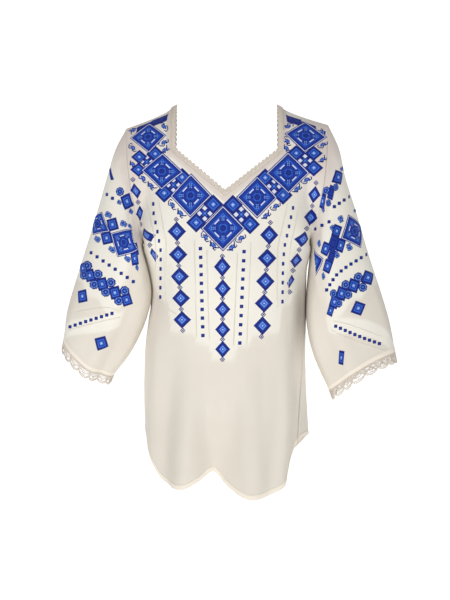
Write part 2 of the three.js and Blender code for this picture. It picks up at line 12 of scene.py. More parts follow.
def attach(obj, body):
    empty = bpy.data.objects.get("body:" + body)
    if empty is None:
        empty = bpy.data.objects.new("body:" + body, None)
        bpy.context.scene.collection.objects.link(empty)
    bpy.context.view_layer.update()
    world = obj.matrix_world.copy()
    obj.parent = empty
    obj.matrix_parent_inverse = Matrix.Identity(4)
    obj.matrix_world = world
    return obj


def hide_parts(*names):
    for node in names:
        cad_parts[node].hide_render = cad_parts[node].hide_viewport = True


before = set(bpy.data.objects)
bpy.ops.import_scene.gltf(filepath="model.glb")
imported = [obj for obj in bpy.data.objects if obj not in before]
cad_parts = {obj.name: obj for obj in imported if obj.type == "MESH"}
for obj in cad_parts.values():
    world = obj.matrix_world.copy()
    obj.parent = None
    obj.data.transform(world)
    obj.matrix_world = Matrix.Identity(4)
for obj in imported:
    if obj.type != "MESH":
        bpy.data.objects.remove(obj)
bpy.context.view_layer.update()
mm = 0.001


# Colours and materials

def fromScreen(red, green, blue):  # a screen colour, 0 to 255, as the shader's linear colour
    return tuple((part / 255) ** 2.2 for part in (red, green, blue)) + (1.0,)


class Wire:  # a node's output that takes part in plain arithmetic
    def __init__(self, tree, socket=None):
        self.tree, self.socket = tree, socket

    def make(self, kind, settings, inputs, output=0):
        node = self.tree.nodes.new(kind)
        for name, value in settings.items():
            if name == "stops":
                for i, (place, colour) in enumerate(value):
                    elements = node.color_ramp.elements
                    stop = elements[i] if i < len(elements) else elements.new(place)
                    stop.position, stop.color = place, colour
            else:
                setattr(node, name, value)
        for name, value in inputs.items():
            if isinstance(value, Wire):
                self.tree.links.new(value.socket, node.inputs[name])
            else:
                node.inputs[name].default_value = value
        return Wire(self.tree, node.outputs[output])

    def maths(self, operation, first, second):
        return self.make("ShaderNodeMath", {"operation": operation}, {0: first, 1: second})

    def __add__(self, other):
        return self.maths("ADD", self, other)

    def __mul__(self, other):
        return self.maths("MULTIPLY", self, other)

    __radd__ = __add__
    __rmul__ = __mul__

    def mixed(self, first, second):  # this wire is how much of the second colour shows
        settings = {"data_type": "RGBA", "blend_type": "MIX"}
        return self.make("ShaderNodeMix", settings, {"Factor": self, 6: first, 7: second}, 2)


def newMaterial(name, fixed):
    material = bpy.data.materials.new(name)
    material.use_nodes = True
    shader = material.node_tree.nodes["Principled BSDF"]
    for socket, value in fixed.items():
        shader.inputs[socket].default_value = value
    return material, shader, Wire(material.node_tree)


def setWires(shader, wires):
    for socket, wire in wires.items():
        wire.tree.links.new(wire.socket, shader.inputs[socket])


def attributeWire(start, name, output=2):
    return start.make("ShaderNodeAttribute", {"attribute_name": name}, {}, output)


def placeWire(start, kind):  # on the object, or on the cloth as it was cut
    return start.make("ShaderNodeTexCoord", {}, {}, {"object": 3, "cut": 2}[kind])


def noiseWire(start, place, scale, detail=3.0):
    return start.make("ShaderNodeTexNoise", {}, {"Vector": place, "Scale": scale, "Detail": detail})


def waveWire(start, place, direction, scale, distortion, detail=1.0):
    inputs = {"Vector": place, "Scale": scale, "Distortion": distortion, "Detail": detail}
    return start.make("ShaderNodeTexWave", {"bands_direction": direction}, inputs)


def bumpWire(start, strength, distance, height):
    inputs = {"Strength": strength, "Distance": distance, "Height": height}
    return start.make("ShaderNodeBump", {}, inputs)


clothLook = {
    "sheer": fromScreen(226, 219, 207), "backed": fromScreen(235, 231, 220),
    "hem": fromScreen(240, 230, 215), "shade": fromScreen(208, 199, 186),
    # Both colours on the next line are painted light. The first is painted shade over the shoulders and
    # sleeve tops, and also the facing's own tint round the neck. The second is a painted shadow under the
    # left sleeve.
    "facingAndShoulderShade": fromScreen(212, 200, 193), "underarmShadow": fromScreen(140, 132, 118),
    "roughness": 0.78, "sheen": 0.25, "threads": 1400, "weaveDepth": 0.12, "weaveHigh": 0.0004,
    "slubs": 60.0, "slub": 0.10, "clouds": 9.0, "cloud": 0.5,
}


def makeClothMaterial(name, look):
    fixed = {"Sheen Weight": look["sheen"], "Sheen Roughness": 0.5, "Specular IOR Level": 0.25}
    material, shader, start = newMaterial(name, fixed)
    place, cut = placeWire(start, "object"), placeWire(start, "cut")
    warp, weft = (waveWire(start, cut, way, look["threads"], 0.6) for way in ("X", "Y"))
    slub = noiseWire(start, place, look["slubs"], 4.0)
    cloud = noiseWire(start, place, look["clouds"], 2.0)
    plain = (cloud * look["cloud"]).mixed(look["sheer"], look["shade"])
    colour = attributeWire(start, "backing").mixed(plain, look["backed"])
    # Laid over the cloth in turn: the facing tint with painted shoulder and sleeve-top shade, the painted
    # shadow under the left sleeve, then the hem.
    for tone in ("facingAndShoulderShade", "underarmShadow", "hem"):
        colour = attributeWire(start, tone).mixed(colour, look[tone])
    tint = (slub * look["slub"]).mixed(colour, look["shade"])
    bump = bumpWire(start, look["weaveDepth"], look["weaveHigh"], warp * weft + slub * 1.5)
    setWires(shader, {"Base Color": tint, "Normal": bump, "Roughness": slub * 0.12 + look["roughness"]})
    return material


laceLook = {
    "thread": fromScreen(229, 219, 207), "deep": fromScreen(194, 181, 165), "twists": 900.0,
    "patches": 220.0, "patch": 0.6, "twistDepth": 0.4, "twistHigh": 0.0003, "roughness": 0.8,
}


def makeLaceMaterial(name, look):
    material, shader, start = newMaterial(name, {"Sheen Weight": 0.2, "Specular IOR Level": 0.2})
    place = placeWire(start, "object")
    twist = waveWire(start, place, "DIAGONAL", look["twists"], 4.0)
    patch = noiseWire(start, place, look["patches"])
    colour = (patch * look["patch"]).mixed(look["thread"], look["deep"])
    bump = bumpWire(start, look["twistDepth"], look["twistHigh"], twist + patch)
    setWires(shader, {"Base Color": colour, "Normal": bump, "Roughness": patch * 0.1 + look["roughness"]})
    return material


threadLook = {
    "navy": fromScreen(6, 36, 126), "royal": fromScreen(10, 56, 158), "mid": fromScreen(46, 100, 206),
    "sky": fromScreen(104, 146, 228), "white": fromScreen(222, 226, 244),
    # The last colour on the next line is painted shade for the grooves between strands.
    "snow": fromScreen(240, 236, 222), "between": fromScreen(18, 26, 80),
    "strands": 700.0, "patches": 300.0, "strandDepth": 0.35, "strandHigh": 0.0003, "roughness": 0.5,
    "whiteStrands": 420.0, "whiteDepth": 0.6, "whiteHigh": 0.0004,
}


def makeThreadMaterial(name, look):
    material, shader, start = newMaterial(name, {"Sheen Weight": 0.05, "Specular IOR Level": 0.3})
    place = placeWire(start, "object")
    strand = waveWire(start, place, "DIAGONAL", look["strands"], 2.0)
    patch = noiseWire(start, place, look["patches"])
    # Stripes of painted shade between the strands.
    colour = (strand * 0.14).mixed(attributeWire(start, "thread", 0), look["between"])
    bump = bumpWire(start, look["strandDepth"], look["strandHigh"], strand + patch)
    setWires(shader, {"Base Color": colour, "Normal": bump, "Roughness": patch * 0.15 + look["roughness"]})
    return material


def makeWhiteThreadMaterial(name, look):
    material, shader, start = newMaterial(name, {"Sheen Weight": 0.2, "Specular IOR Level": 0.5})
    strand = waveWire(start, placeWire(start, "cut"), "Y", look["whiteStrands"], 0.8, 2.0)
    colour = (strand * 0.3).mixed(look["snow"], clothLook["sheer"])
    bump = bumpWire(start, look["whiteDepth"], look["whiteHigh"], strand)
    setWires(shader, {"Base Color": colour, "Normal": bump, "Roughness": strand * 0.1 + look["roughness"]})
    return material


clothMaterial = makeClothMaterial("blouseCloth", clothLook)
laceMaterial = makeLaceMaterial("cottonLace", laceLook)
threadMaterial = makeThreadMaterial("blueThread", threadLook)
whiteThreadMaterial = makeWhiteThreadMaterial("whiteThread", threadLook)
print("materials ready")


# The form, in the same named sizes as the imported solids

def namedColumns(names, rows):
    return dict(zip(names.split(), np.array(rows, float).T))


def ease(low, high, value):
    t = np.clip((value - low) / (high - low), 0, 1)
    return t * t * (3 - 2 * t)


def blend(first, second, t):
    return first + (second - first) * t


def hump(away, width):  # 1 in the middle, and smoothly nothing far from it
    return np.exp(-(away / width) ** 2)


def curve(here, there, leave, arrive, t):  # from here to there with both slopes given
    bent = (t ** 3 - 2 * t ** 2 + t) * leave + (t ** 3 - t ** 2) * arrive
    return blend(here, there, ease(0, 1, t)) + bent


def throughTable(places, values, at):  # a smooth curve through one column, read along another
    if places[1] < places[0]:
        places, values = places[::-1], values[::-1]
    last = len(places) - 1
    low = np.clip(np.searchsorted(places, at, side="right") - 1, 0, last - 1)
    before, after = np.maximum(np.arange(last + 1) - 1, 0), np.minimum(np.arange(last + 1) + 1, last)
    slopes = (values[after] - values[before]) / (places[after] - places[before])
    span = places[low + 1] - places[low]
    t = np.clip((at - places[low]) / span, 0, 1)
    return curve(values[low], values[low + 1], span * slopes[low], span * slopes[low + 1], t)


def throughPoints(points, at, closed):  # a rounded line through points, read at 0 to 1
    count = len(points)
    place = at * (count if closed else count - 1)
    start = np.floor(place).astype(int) if closed else np.clip(np.floor(place).astype(int), 0, count - 2)
    t = (place - start)[..., None]
    if closed:
        ring = [points[(start + k) % count] for k in (-1, 0, 1, 2)]
    else:
        run = np.concatenate([[2 * points[0] - points[1]], points, [2 * points[-1] - points[-2]]])
        ring = [run[start + k] for k in (0, 1, 2, 3)]
    before, here, there, beyond = ring
    return curve(here, there, (there - before) / 2, (beyond - here) / 2, t)


bodyForm = {
    "underarmZ": -245.0, "roundness": 0.87, "foldsFullZ": -660.0, "leftSeamAtHem": 61.0,
    "bodyRows": 12, "yokeRows": 10, "cornerRow": 6,
    "sections": namedColumns("z left right front back", [
        (-245, 149.5, 149.5, 121, 106),
        (-290, 146.5, 142, 127, 109),
        (-335, 146, 136, 126, 107),
        (-385, 146, 144, 121, 103),
        (-440, 144.5, 151, 116, 100),
        (-540, 143.5, 153.5, 112, 101),
        (-700, 147, 147, 111, 106),
    ]),
    "frontFolds": namedColumns("across depth width top", [
        (-0.66, 5, 0.1, -400), (-0.42, -7, 0.1, -400), (-0.18, 13, 0.15, -440), (0.09, -25, 0.13, -450),
        (0.37, 15, 0.14, -440), (0.68, 7, 0.1, -430), (0.88, -9, 0.1, -360),
    ]),
    "backFolds": namedColumns("across depth width top", [
        (0.76, 8, 0.12, -380), (0.47, -13, 0.11, -420), (0.2, 12, 0.12, -400),
        (-0.08, -16, 0.11, -360), (-0.36, 12, 0.13, -420), (-0.66, -9, 0.11, -440),
    ]),
    "hem": namedColumns("turn z", [
        (-90, -590), (-78, -598), (-68, -620), (-58, -654), (-50, -675), (-28, -683), (-18, -671),
        (-8, -655), (3, -686), (14, -699), (39, -682), (50, -656), (61, -608), (90, -605),
        (112, -640), (138, -680), (180, -692), (222, -680), (248, -640), (262, -602), (270, -590),
    ]),
    "shoulderX": {1: 185.0, -1: 184.0}, "shoulderZ": {1: -32.0, -1: -38.5},
    "neck": (100.0, 6.0, 0.0), "shoulderHollow": 0.75, "neckAcross": 0.5, "neckRise": 35.0,
    "frontNeck": {"cornerX": 98.5, "cornerZ": -84.0, "middleX": -4.0, "middleZ": -164.0},
    "backNeck": {"cornerX": 104.0, "cornerZ": -86.0, "middleX": 0.0, "middleZ": -170.0},
    "armholeFront": [(150, 0, -245), (158, -46, -212), (172, -57, -150), (180, -42, -90)],
    "armholeBack": [(180, 44, -90), (172, 59, -150), (158, 46, -212)],
    "sideEase": 5.0, "sideEaseTo": {1: (-262, -300), -1: (-340, -372)}, "sideEaseTurn": 16.0,
    "sideEaseStart": 14.0,
    "underarmPower": 12.0, "chestPower": 4.0, "chestRise": 0.55,
}


def bodyPoint(z, turn, offset=0.0):
    form = bodyForm["sections"]
    sine, cosine = np.sin(np.radians(turn)), np.cos(np.radians(turn))
    sine = np.sign(sine) * np.abs(sine) ** bodyForm["roundness"]
    cosine = np.sign(cosine) * np.abs(cosine) ** bodyForm["roundness"]
    reach = {way: throughTable(form["z"], form[way], z) for way in ("left", "right", "front", "back")}
    width = np.where(sine > 0, reach["left"], reach["right"])
    depth = np.where(cosine > 0, reach["front"], reach["back"])
    outX, outY = sine / width, -cosine / depth
    long = np.hypot(outX, outY)
    return np.stack([width * sine + outX / long * offset, -depth * cosine + outY / long * offset,
                     z + 0 * width], -1)


def columnTurn(half, across, fall):
    leftSeam = blend(90.0, bodyForm["leftSeamAtHem"], fall)
    return blend(-90.0 if half == "front" else 270.0, leftSeam, (across + 1) / 2)


def lowerBodyPoint(half, across, rise):
    turn = columnTurn(half, across, 1 - rise)
    hem = bodyForm["hem"]
    z = blend(throughTable(hem["turn"], hem["z"], turn), bodyForm["underarmZ"], rise)
    offset = 0.0
    for foldAcross, depth, width, top in zip(*bodyForm[half + "Folds"].values()):
        growth = ease(top, bodyForm["foldsFullZ"], z)
        offset = offset + depth * growth * hump(across - foldAcross, width)
    for side in (1, -1):
        fromSide = np.degrees(np.arccos(np.clip(np.sin(np.radians(turn)) * side, -1, 1)))
        full, gone = bodyForm["sideEaseTo"][side]
        starts = ease(bodyForm["underarmZ"], bodyForm["underarmZ"] - bodyForm["sideEaseStart"], z)
        near = hump(fromSide, bodyForm["sideEaseTurn"])
        offset = offset + bodyForm["sideEase"] * near * starts * ease(gone, full, z)
    return bodyPoint(z, turn, offset)


def ridgePoint(across):
    side = np.where(across < 0, -1.0, 1.0)
    shoulderX = np.where(across < 0, bodyForm["shoulderX"][-1], bodyForm["shoulderX"][1])
    shoulderZ = np.where(across < 0, bodyForm["shoulderZ"][-1], bodyForm["shoulderZ"][1])
    neckX, neckY, neckZ = bodyForm["neck"]
    inner = np.abs(across) / bodyForm["neckAcross"]
    outer = np.clip((np.abs(across) - bodyForm["neckAcross"]) / (1 - bodyForm["neckAcross"]), 0, 1)
    x = np.where(inner < 1, neckX * inner, blend(neckX, shoulderX, outer))
    y = np.where(inner < 1, neckY, blend(neckY, 0.0, outer))
    z = np.where(inner < 1, neckZ + bodyForm["neckRise"] * (1 - inner),
                 neckZ + (shoulderZ - neckZ) * outer ** bodyForm["shoulderHollow"])
    return np.stack([side * x, y, z], -1)


def armholePoint(side, share):
    shoulder = (bodyForm["shoulderX"][side], 0, bodyForm["shoulderZ"][side])
    points = np.array(bodyForm["armholeFront"] + [shoulder] + bodyForm["armholeBack"], float)
    return throughPoints(points, share, closed=True) * (side, 1, 1)


def columnPoint(half, across, rise):
    turn = columnTurn(half, across, 0.0)
    z = bodyForm["underarmZ"] + 0 * across
    start, below, end = bodyPoint(z, turn), bodyPoint(z - 1, turn), ridgePoint(across)
    long = np.linalg.norm(end - start, axis=-1)[..., None]
    t = np.broadcast_to(rise, np.shape(across))[..., None]
    leave = (start - below) * long
    arrive = long * (0, 1 if half == "front" else -1, 0)
    return curve(start, end, leave, arrive, t)


def wholeYokePoint(half, across, rise):
    across, rise = np.broadcast_arrays(np.asarray(across, float), np.asarray(rise, float))
    share = rise / 2 if half == "front" else 1 - rise / 2
    side = np.where(across < 0, -1.0, 1.0)
    edge = np.where(across[..., None] < 0, armholePoint(-1, share), armholePoint(1, share))
    pull = edge - columnPoint(half, side, rise)
    power = blend(bodyForm["underarmPower"], bodyForm["chestPower"], ease(0, bodyForm["chestRise"], rise))
    return columnPoint(half, across, rise) + pull * (np.abs(across) ** power)[..., None]


def placeAtX(half, x, rise):
    across = bodyForm["neckAcross"] * x / bodyForm["neck"][0]
    for _ in range(20):
        across = across + (x - wholeYokePoint(half, across, rise)[..., 0]) / 220
    return across


def placeAt(half, x, z):
    across, rise = bodyForm["neckAcross"] * x / bodyForm["neck"][0], 0.5 + 0 * x
    for _ in range(40):
        point = wholeYokePoint(half, across, rise)
        across, rise = across + (x - point[..., 0]) / 220, rise + (z - point[..., 2]) / 320
    return across, rise


def yokePoint(half, across, row):  # row runs from the underarm line to the shoulder seam
    neck, edge, cornerRow = bodyForm[half + "Neck"], bodyForm["neckAcross"], bodyForm["cornerRow"]
    side, size = np.where(across < 0, -1.0, 1.0), np.abs(across)
    toMiddle = np.clip(1 - size / edge, 0, 1)
    slopeAcross, slopeRise = placeAt(half, blend(side * neck["cornerX"], neck["middleX"], toMiddle),
                                     blend(neck["cornerZ"], neck["middleZ"], toMiddle))
    upSlope = np.minimum(row / cornerRow, 1)
    upSide = np.clip((row - cornerRow) / (bodyForm["yokeRows"] - cornerRow), 0, 1)
    cornerAcross, cornerRise = placeAt(half, side * neck["cornerX"], neck["cornerZ"] + 0 * side)
    sideRise = blend(cornerRise, 1.0, upSide)
    sideAcross = placeAtX(half, side * blend(neck["cornerX"], bodyForm["neck"][0], upSide), sideRise)
    nearAcross = np.where(row <= cornerRow, blend(side * edge, cornerAcross, upSlope), sideAcross)
    nearRise = np.where(row <= cornerRow, cornerRise * upSlope, sideRise)
    toArmhole = np.clip((size - edge) / (1 - edge), 0, 1)
    strapAcross = blend(nearAcross, side, toArmhole)
    strapRise = blend(nearRise, row / bodyForm["yokeRows"], toArmhole)
    middle = size < edge
    return wholeYokePoint(half, np.where(middle, blend(across, slopeAcross, upSlope), strapAcross),
                          np.where(middle, slopeRise * upSlope, strapRise))


def panelPoint(half, across, row):
    across, row = np.broadcast_arrays(np.asarray(across, float), np.asarray(row, float))
    lower = lowerBodyPoint(half, across, np.clip(1 + row / bodyForm["bodyRows"], 0, 1))
    return np.where(row[..., None] < 0, lower, yokePoint(half, across, np.maximum(row, 0)))


sleeveColumns = "outX outY outZ inX inY inZ depth lean arch"
sleeveForm = {
    1: namedColumns(sleeveColumns, [
        (205, -1, -76, 152.5, -8, -262, 55, 0, 0),
        (217, -1, -131, 148.5, -20, -300, 54, 0, 0),
        (237, -2, -196, 144.5, -38, -345, 51, 0, 0),
        (260.5, -4, -272, 145, -42, -392, 48, -2, 0),
        (281, -8, -333, 153.5, -38, -438, 45, -4, 3),
        (298, -14, -390, 168.5, -34, -478, 42, -5, 6),
        (308, -24, -446, 186, -36, -515, 38, -4, 8),
    ]),
    -1: namedColumns(sleeveColumns, [
        (204.5, -1, -78, 151.5, -10, -261, 55, 0, 0),
        (218.5, -1, -128, 142.5, -32, -298, 54, 2, 0),
        (236, -3, -192, 138, -46, -338, 52, 5, 0),
        (258.5, -4, -262, 145, -42, -376, 51, 8, 0),
        (278, -3, -320, 161, -26, -418, 50, 12, 0),
        (293, 0, -370, 183.5, -14, -458, 48, 16, 0),
        (300, 4, -419, 209.5, -4, -491, 46, 19, 0),
    ]),
    "folds": namedColumns("share depth width", [
        (0.12, -6, 0.05), (0.2, 4, 0.05), (0.66, -5, 0.05), (0.8, 5, 0.06),
    ]),
    "foldTop": 1.5, "foldFull": 4.0, "rings": 7,
}


def unit(vector):
    return vector / np.linalg.norm(vector, axis=-1, keepdims=True)


def ringFrame(side, ring):  # the ring's middle, and its ways outward, to the front and down the arm
    form = {key: values[ring] for key, values in sleeveForm[side].items()}
    outer = np.array([side * form["outX"], form["outY"], form["outZ"]])
    inner = np.array([side * form["inX"], form["inY"], form["inZ"]])
    reach = (outer - inner) / 2
    down = unit(np.cross(reach, (0, -1, 0))) * side
    lean = math.radians(form["lean"])
    front = unit(np.cross(down, reach)) * side * math.cos(lean) + down * math.sin(lean)
    return form, (outer + inner) / 2, reach, front, down


def ringPoint(side, ring, share):
    form, middle, reach, front, down = ringFrame(side, ring)
    angle = share * 2 * math.pi
    arrow = -np.cos(angle)[..., None] * reach + np.sin(angle)[..., None] * front * form["depth"]
    growth = ease(sleeveForm["foldTop"], sleeveForm["foldFull"], ring + 1)
    offset = 0.0
    for foldShare, depth, width in zip(*sleeveForm["folds"].values()):
        offset = offset + depth * growth * hump(share - foldShare, width)
    arrow = arrow + unit(arrow) * (offset * np.ones_like(share))[..., None]
    return middle + arrow - (down * form["arch"]) * (np.sin(angle) ** 2)[..., None]


def sleevePoint(side, share, along):  # along runs from 0 at the armhole to 7 at the cuff
    share, along = np.broadcast_arrays(np.asarray(share, float) % 1.0, np.asarray(along, float))
    rings = [ringPoint(side, i, share) for i in range(sleeveForm["rings"])]
    points = np.stack([armholePoint(side, share)] + rings)
    step = np.clip(np.floor(along).astype(int), 0, sleeveForm["rings"] - 1)
    run = np.concatenate([[2 * points[0] - points[1]], points, [2 * points[-1] - points[-2]]])
    picks = [(step + k)[None, ..., None] for k in range(4)]
    before, here, there, beyond = (np.take_along_axis(run, pick, 0)[0] for pick in picks)
    return curve(here, there, (there - before) / 2, (beyond - here) / 2, (along - step)[..., None])


# Cloth pieces

clothWall = 0.9
creaseEnds = (0.06, 0.94)
creaseFade = 0.7


def creaseDepth(x, y, creases):  # soft troughs and ridges, each along a short line
    total = np.zeros_like(x)
    for x0, y0, x1, y1, width, depth in creases:
        dx, dy = x1 - x0, y1 - y0
        t = np.clip(((x - x0) * dx + (y - y0) * dy) / (dx * dx + dy * dy), 0, 1)
        away = np.hypot(x - x0 - t * dx, y - y0 - t * dy)
        total += depth * hump(away, width) * np.sin(math.pi * np.clip(t, *creaseEnds)) ** creaseFade
    return total


armpitEase = {
    "x": 148.0, "z": -238.0, "wide": 30.0, "tall": {1: 42.0, -1: 40.0}, "forward": {1: 22.0, -1: 40.0},
    "fromY": {1: 30.0, -1: 45.0}, "fullY": {1: -20.0, -1: 0.0},
}


def easedArmpit(points):  # the cloth spans the hollow under each arm in front
    look = armpitEase
    x, y, z = points[..., 0], points[..., 1], points[..., 2]
    forward = 0.0
    for side in (1, -1):
        near = hump(x * side - look["x"], look["wide"]) * hump(z - look["z"], look["tall"][side])
        forward = forward + look["forward"][side] * near * ease(look["fromY"][side], look["fullY"][side], y)
    return np.stack([x, y - forward, z], -1)


def gridNormals(points, closed=False):
    run = np.concatenate([points[:, -2:-1], points, points[:, 1:2]], 1) if closed else points
    across = np.gradient(run, axis=1)
    across = across[:, 1:-1] if closed else across
    normals = np.cross(across, np.gradient(points, axis=0))
    return normals / np.maximum(np.linalg.norm(normals, axis=-1, keepdims=True), 1e-9)


def sewCloth(name, points, values, cutSize, closed=False, cutOut=None, flip=False):
    rows, cols = points.shape[0] - 1, points.shape[1] - 1
    bm = bmesh.new()
    cut = bm.loops.layers.uv.new("cut")
    layers = {key: bm.verts.layers.float.new(key) for key in values}
    bmesh.ops.create_grid(bm, x_segments=cols, y_segments=rows, size=1, calc_uvs=True)
    spots = {}
    for vert in bm.verts:
        row, col = round((vert.co.y + 1) / 2 * rows), round((vert.co.x + 1) / 2 * cols)
        spots[vert] = (row, col)
    for face in bm.faces:
        for loop in face.loops:
            row, col = spots[loop.vert]
            loop[cut].uv = (col / cols * cutSize[0], row / rows * cutSize[1])
    for vert, (row, col) in spots.items():
        vert.co = points[row, col] * mm
        for key, layer in layers.items():
            vert[layer] = values[key][row, col]
    if cutOut is not None:
        gone = [face for face in bm.faces if cutOut(*np.mean([spots[v] for v in face.verts], axis=0))]
        bmesh.ops.delete(bm, geom=gone, context="FACES")
    if closed:
        bmesh.ops.remove_doubles(bm, verts=bm.verts, dist=1e-6)
    if flip:
        bmesh.ops.reverse_faces(bm, faces=bm.faces)
    tree = BVHTree.FromBMesh(bm)
    piece = finishMesh(name, bm, clothMaterial)
    wall = piece.modifiers.new("wall", "SOLIDIFY")
    wall.thickness, wall.offset, wall.use_rim = clothWall * mm, -1, True
    return piece, tree


def finishMesh(name, bm, material, smooth=True):
    mesh = bpy.data.meshes.new(name)
    for face in bm.faces:
        face.smooth = smooth
    bm.to_mesh(mesh)
    bm.free()
    mesh.materials.append(material)
    piece = bpy.data.objects.new(name, mesh)
    bpy.context.scene.collection.objects.link(piece)
    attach(piece, "root")
    return piece


panelLook = {
    "hemRows": [0, 0.06, 0.12, 0.18, 0.235, 0.26, 0.3], "lowerRows": 74, "yokeRowsPerRow": 7,
    "strapColumns": 36, "middleColumns": 42,
    # The last amount on the next line sets the painted shade over the shoulders, which shares its colour
    # with the facing's own tint round the neck.
    "facing": 9.0, "creaseGrowth": 1.35, "facingAndShoulderShade": 0.85, "backed": 0.9,
    "hemTo": (0.235, 0.262), "hemRaise": 0.6, "hemGroove": 0.35, "grooveTo": 0.3, "cut": (0.62, 0.72),
    "sideSeam": {"dip": 0.2, "wide": 0.012}, "shoulderSeam": {"dip": 0.5, "wide": 0.12},
    # Painted shadow: a dark patch on the front's +x side below the armhole, where the left sleeve shades
    # the body.
    "underarmShadow": {"share": 0.85, "z": -372.0, "tall": 62.0, "fromX": 110.0, "toX": 131.0},
    "backedTo": namedColumns("x z", [
        (-170, -300), (-128, -330), (-119, -346), (-104, -352), (-99, -402), (-58, -406), (-53, -422),
        (-31, -426), (-27, -450), (11, -452), (15, -428), (40, -424), (45, -408), (92, -404),
        (97, -358), (112, -352), (124, -335), (170, -300),
    ]),
}
frontCreases = [
    # x0, z0, x1, z1, width, depth
    (-128, -250, -104, -330, 9, -2.2), (-112, -240, -86, -300, 7, 1.6), (132, -262, 106, -350, 9, -2.4),
    (120, -250, 96, -320, 7, 1.8), (-96, -420, -104, -640, 14, -3.0), (-66, -440, -72, -660, 12, 2.2),
    (-38, -460, -40, -640, 11, -2.2), (34, -450, 30, -660, 10, 2.0), (62, -430, 66, -650, 12, -2.6),
    (96, -400, 108, -600, 12, 2.4), (118, -360, 128, -560, 10, -3.0), (-124, -380, -132, -560, 10, 2.4),
    (-50, -210, -70, -250, 10, -1.0), (60, -215, 78, -262, 10, -1.0), (-150, -110, -140, -190, 8, -1.4),
    (150, -110, 140, -190, 8, -1.4), (-30, -500, -24, -600, 8, 1.2), (10, -480, 14, -560, 8, -1.4),
]
backCreases = [
    (-120, -250, -92, -340, 10, -2.6), (-100, -235, -70, -300, 8, 1.8), (118, -252, 90, -352, 10, -2.8),
    (98, -238, 70, -310, 8, 2.0), (-60, -300, -66, -520, 14, -2.4), (-20, -280, -16, -480, 16, 2.2),
    (28, -300, 34, -540, 13, -2.6), (66, -330, 70, -560, 12, 2.4), (-96, -380, -104, -600, 12, 2.6),
    (104, -400, 112, -620, 12, -3.0), (-126, -360, -130, -560, 9, -2.4), (0, -200, 2, -290, 18, -1.4),
    (-44, -560, -48, -670, 9, 1.6), (50, -560, 56, -670, 9, -1.8), (-140, -120, -126, -200, 8, -1.6),
    (140, -120, 126, -200, 8, -1.6),
]


def panelLines():
    edge = bodyForm["neckAcross"]
    strap = np.linspace(1, edge, panelLook["strapColumns"] + 1)
    middle = np.linspace(edge, 0, panelLook["middleColumns"] // 2 + 1)
    half = np.concatenate([strap[:-1], middle[:-1]])
    across = np.concatenate([-half, [0.0], half[::-1]])
    hem = [-bodyForm["bodyRows"] + step for step in panelLook["hemRows"]]
    lower = np.linspace(hem[-1], 0, panelLook["lowerRows"] + 1)[1:]
    yoke = np.linspace(0, bodyForm["yokeRows"], bodyForm["yokeRows"] * panelLook["yokeRowsPerRow"] + 1)[1:]
    return across, np.concatenate([hem, lower, yoke])


def facingShare(half, x, z):  # the facing turned back round the neck opening
    neck = bodyForm[half + "Neck"]
    slopeX = np.array([-neck["cornerX"], neck["middleX"], neck["cornerX"]])
    slopeZ = np.array([neck["cornerZ"], neck["middleZ"], neck["cornerZ"]])
    below = np.interp(x, slopeX, slopeZ) - z
    beside = np.abs(x) - neck["cornerX"]
    wide = panelLook["facing"]
    slope = ease(wide * 1.3 + 2, wide * 1.3 - 2, below) * (np.abs(x) < neck["cornerX"] + wide)
    return np.maximum(slope, ease(wide + 2, wide - 2, beside) * (z > neck["cornerZ"] - wide))


def makePanel(half, creases):
    across, rows = panelLines()
    points = easedArmpit(panelPoint(half, across[None, :], rows[:, None]))
    normals = gridNormals(points) * (1 if half == "front" else -1)
    x, z = points[..., 0], points[..., 2]
    fromHem = (rows[:, None] + bodyForm["bodyRows"]) + 0 * x
    fromSide = (1 - np.abs(across))[None, :]
    inHem = 1 - ease(*panelLook["hemTo"], fromHem)
    groove = ease(panelLook["grooveTo"], 0.26, fromHem) * (1 - inHem)
    creased = creaseDepth(x, z, creases) * panelLook["creaseGrowth"] * ease(0, 0.06, fromSide)
    side, shoulder = panelLook["sideSeam"], panelLook["shoulderSeam"]
    seamDip = side["dip"] * hump(fromSide, side["wide"])
    seamDip = seamDip + shoulder["dip"] * hump(rows - bodyForm["yokeRows"], shoulder["wide"])[:, None]
    lift = creased + panelLook["hemRaise"] * inHem - panelLook["hemGroove"] * groove - seamDip
    moved = points + normals * lift[..., None]
    backing, underarmShadow = 0 * z, 0 * z
    if half == "front":
        table, look = panelLook["backedTo"], panelLook["underarmShadow"]
        backing = ease(-7, 5, z - np.interp(x, table["x"], table["z"])) * panelLook["backed"]
        # Painted shadow of the left sleeve on the front's side, below the armhole.
        underarmShadow = look["share"] * hump(z - look["z"], look["tall"]) * ease(look["fromX"], look["toX"], x)
    # Painted shade over the shoulders, where the cloth rounds away from the light, joined with the facing's
    # real tint round the neck.
    shoulderShade = ease(105, 165, np.abs(x)) * ease(-250, -90, z)
    facingAndShoulderShade = np.maximum(shoulderShade, facingShare(half, x, z)) * panelLook["facingAndShoulderShade"]
    edge, cornerRow = bodyForm["neckAcross"], bodyForm["cornerRow"]

    def inNeck(row, col):
        place = np.interp(row, range(len(rows)), rows)
        return place > cornerRow and abs(np.interp(col, range(len(across)), across)) < edge

    tones = {"backing": backing, "hem": inHem, "facingAndShoulderShade": facingAndShoulderShade, "underarmShadow": underarmShadow}
    return sewCloth(half + "Panel", moved, tones, panelLook["cut"], cutOut=inNeck, flip=half == "back")


frontPanel, frontTree = makePanel("front", frontCreases)
backPanel, _ = makePanel("back", backCreases)
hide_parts("front")
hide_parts("back")
print("front and back sewn")

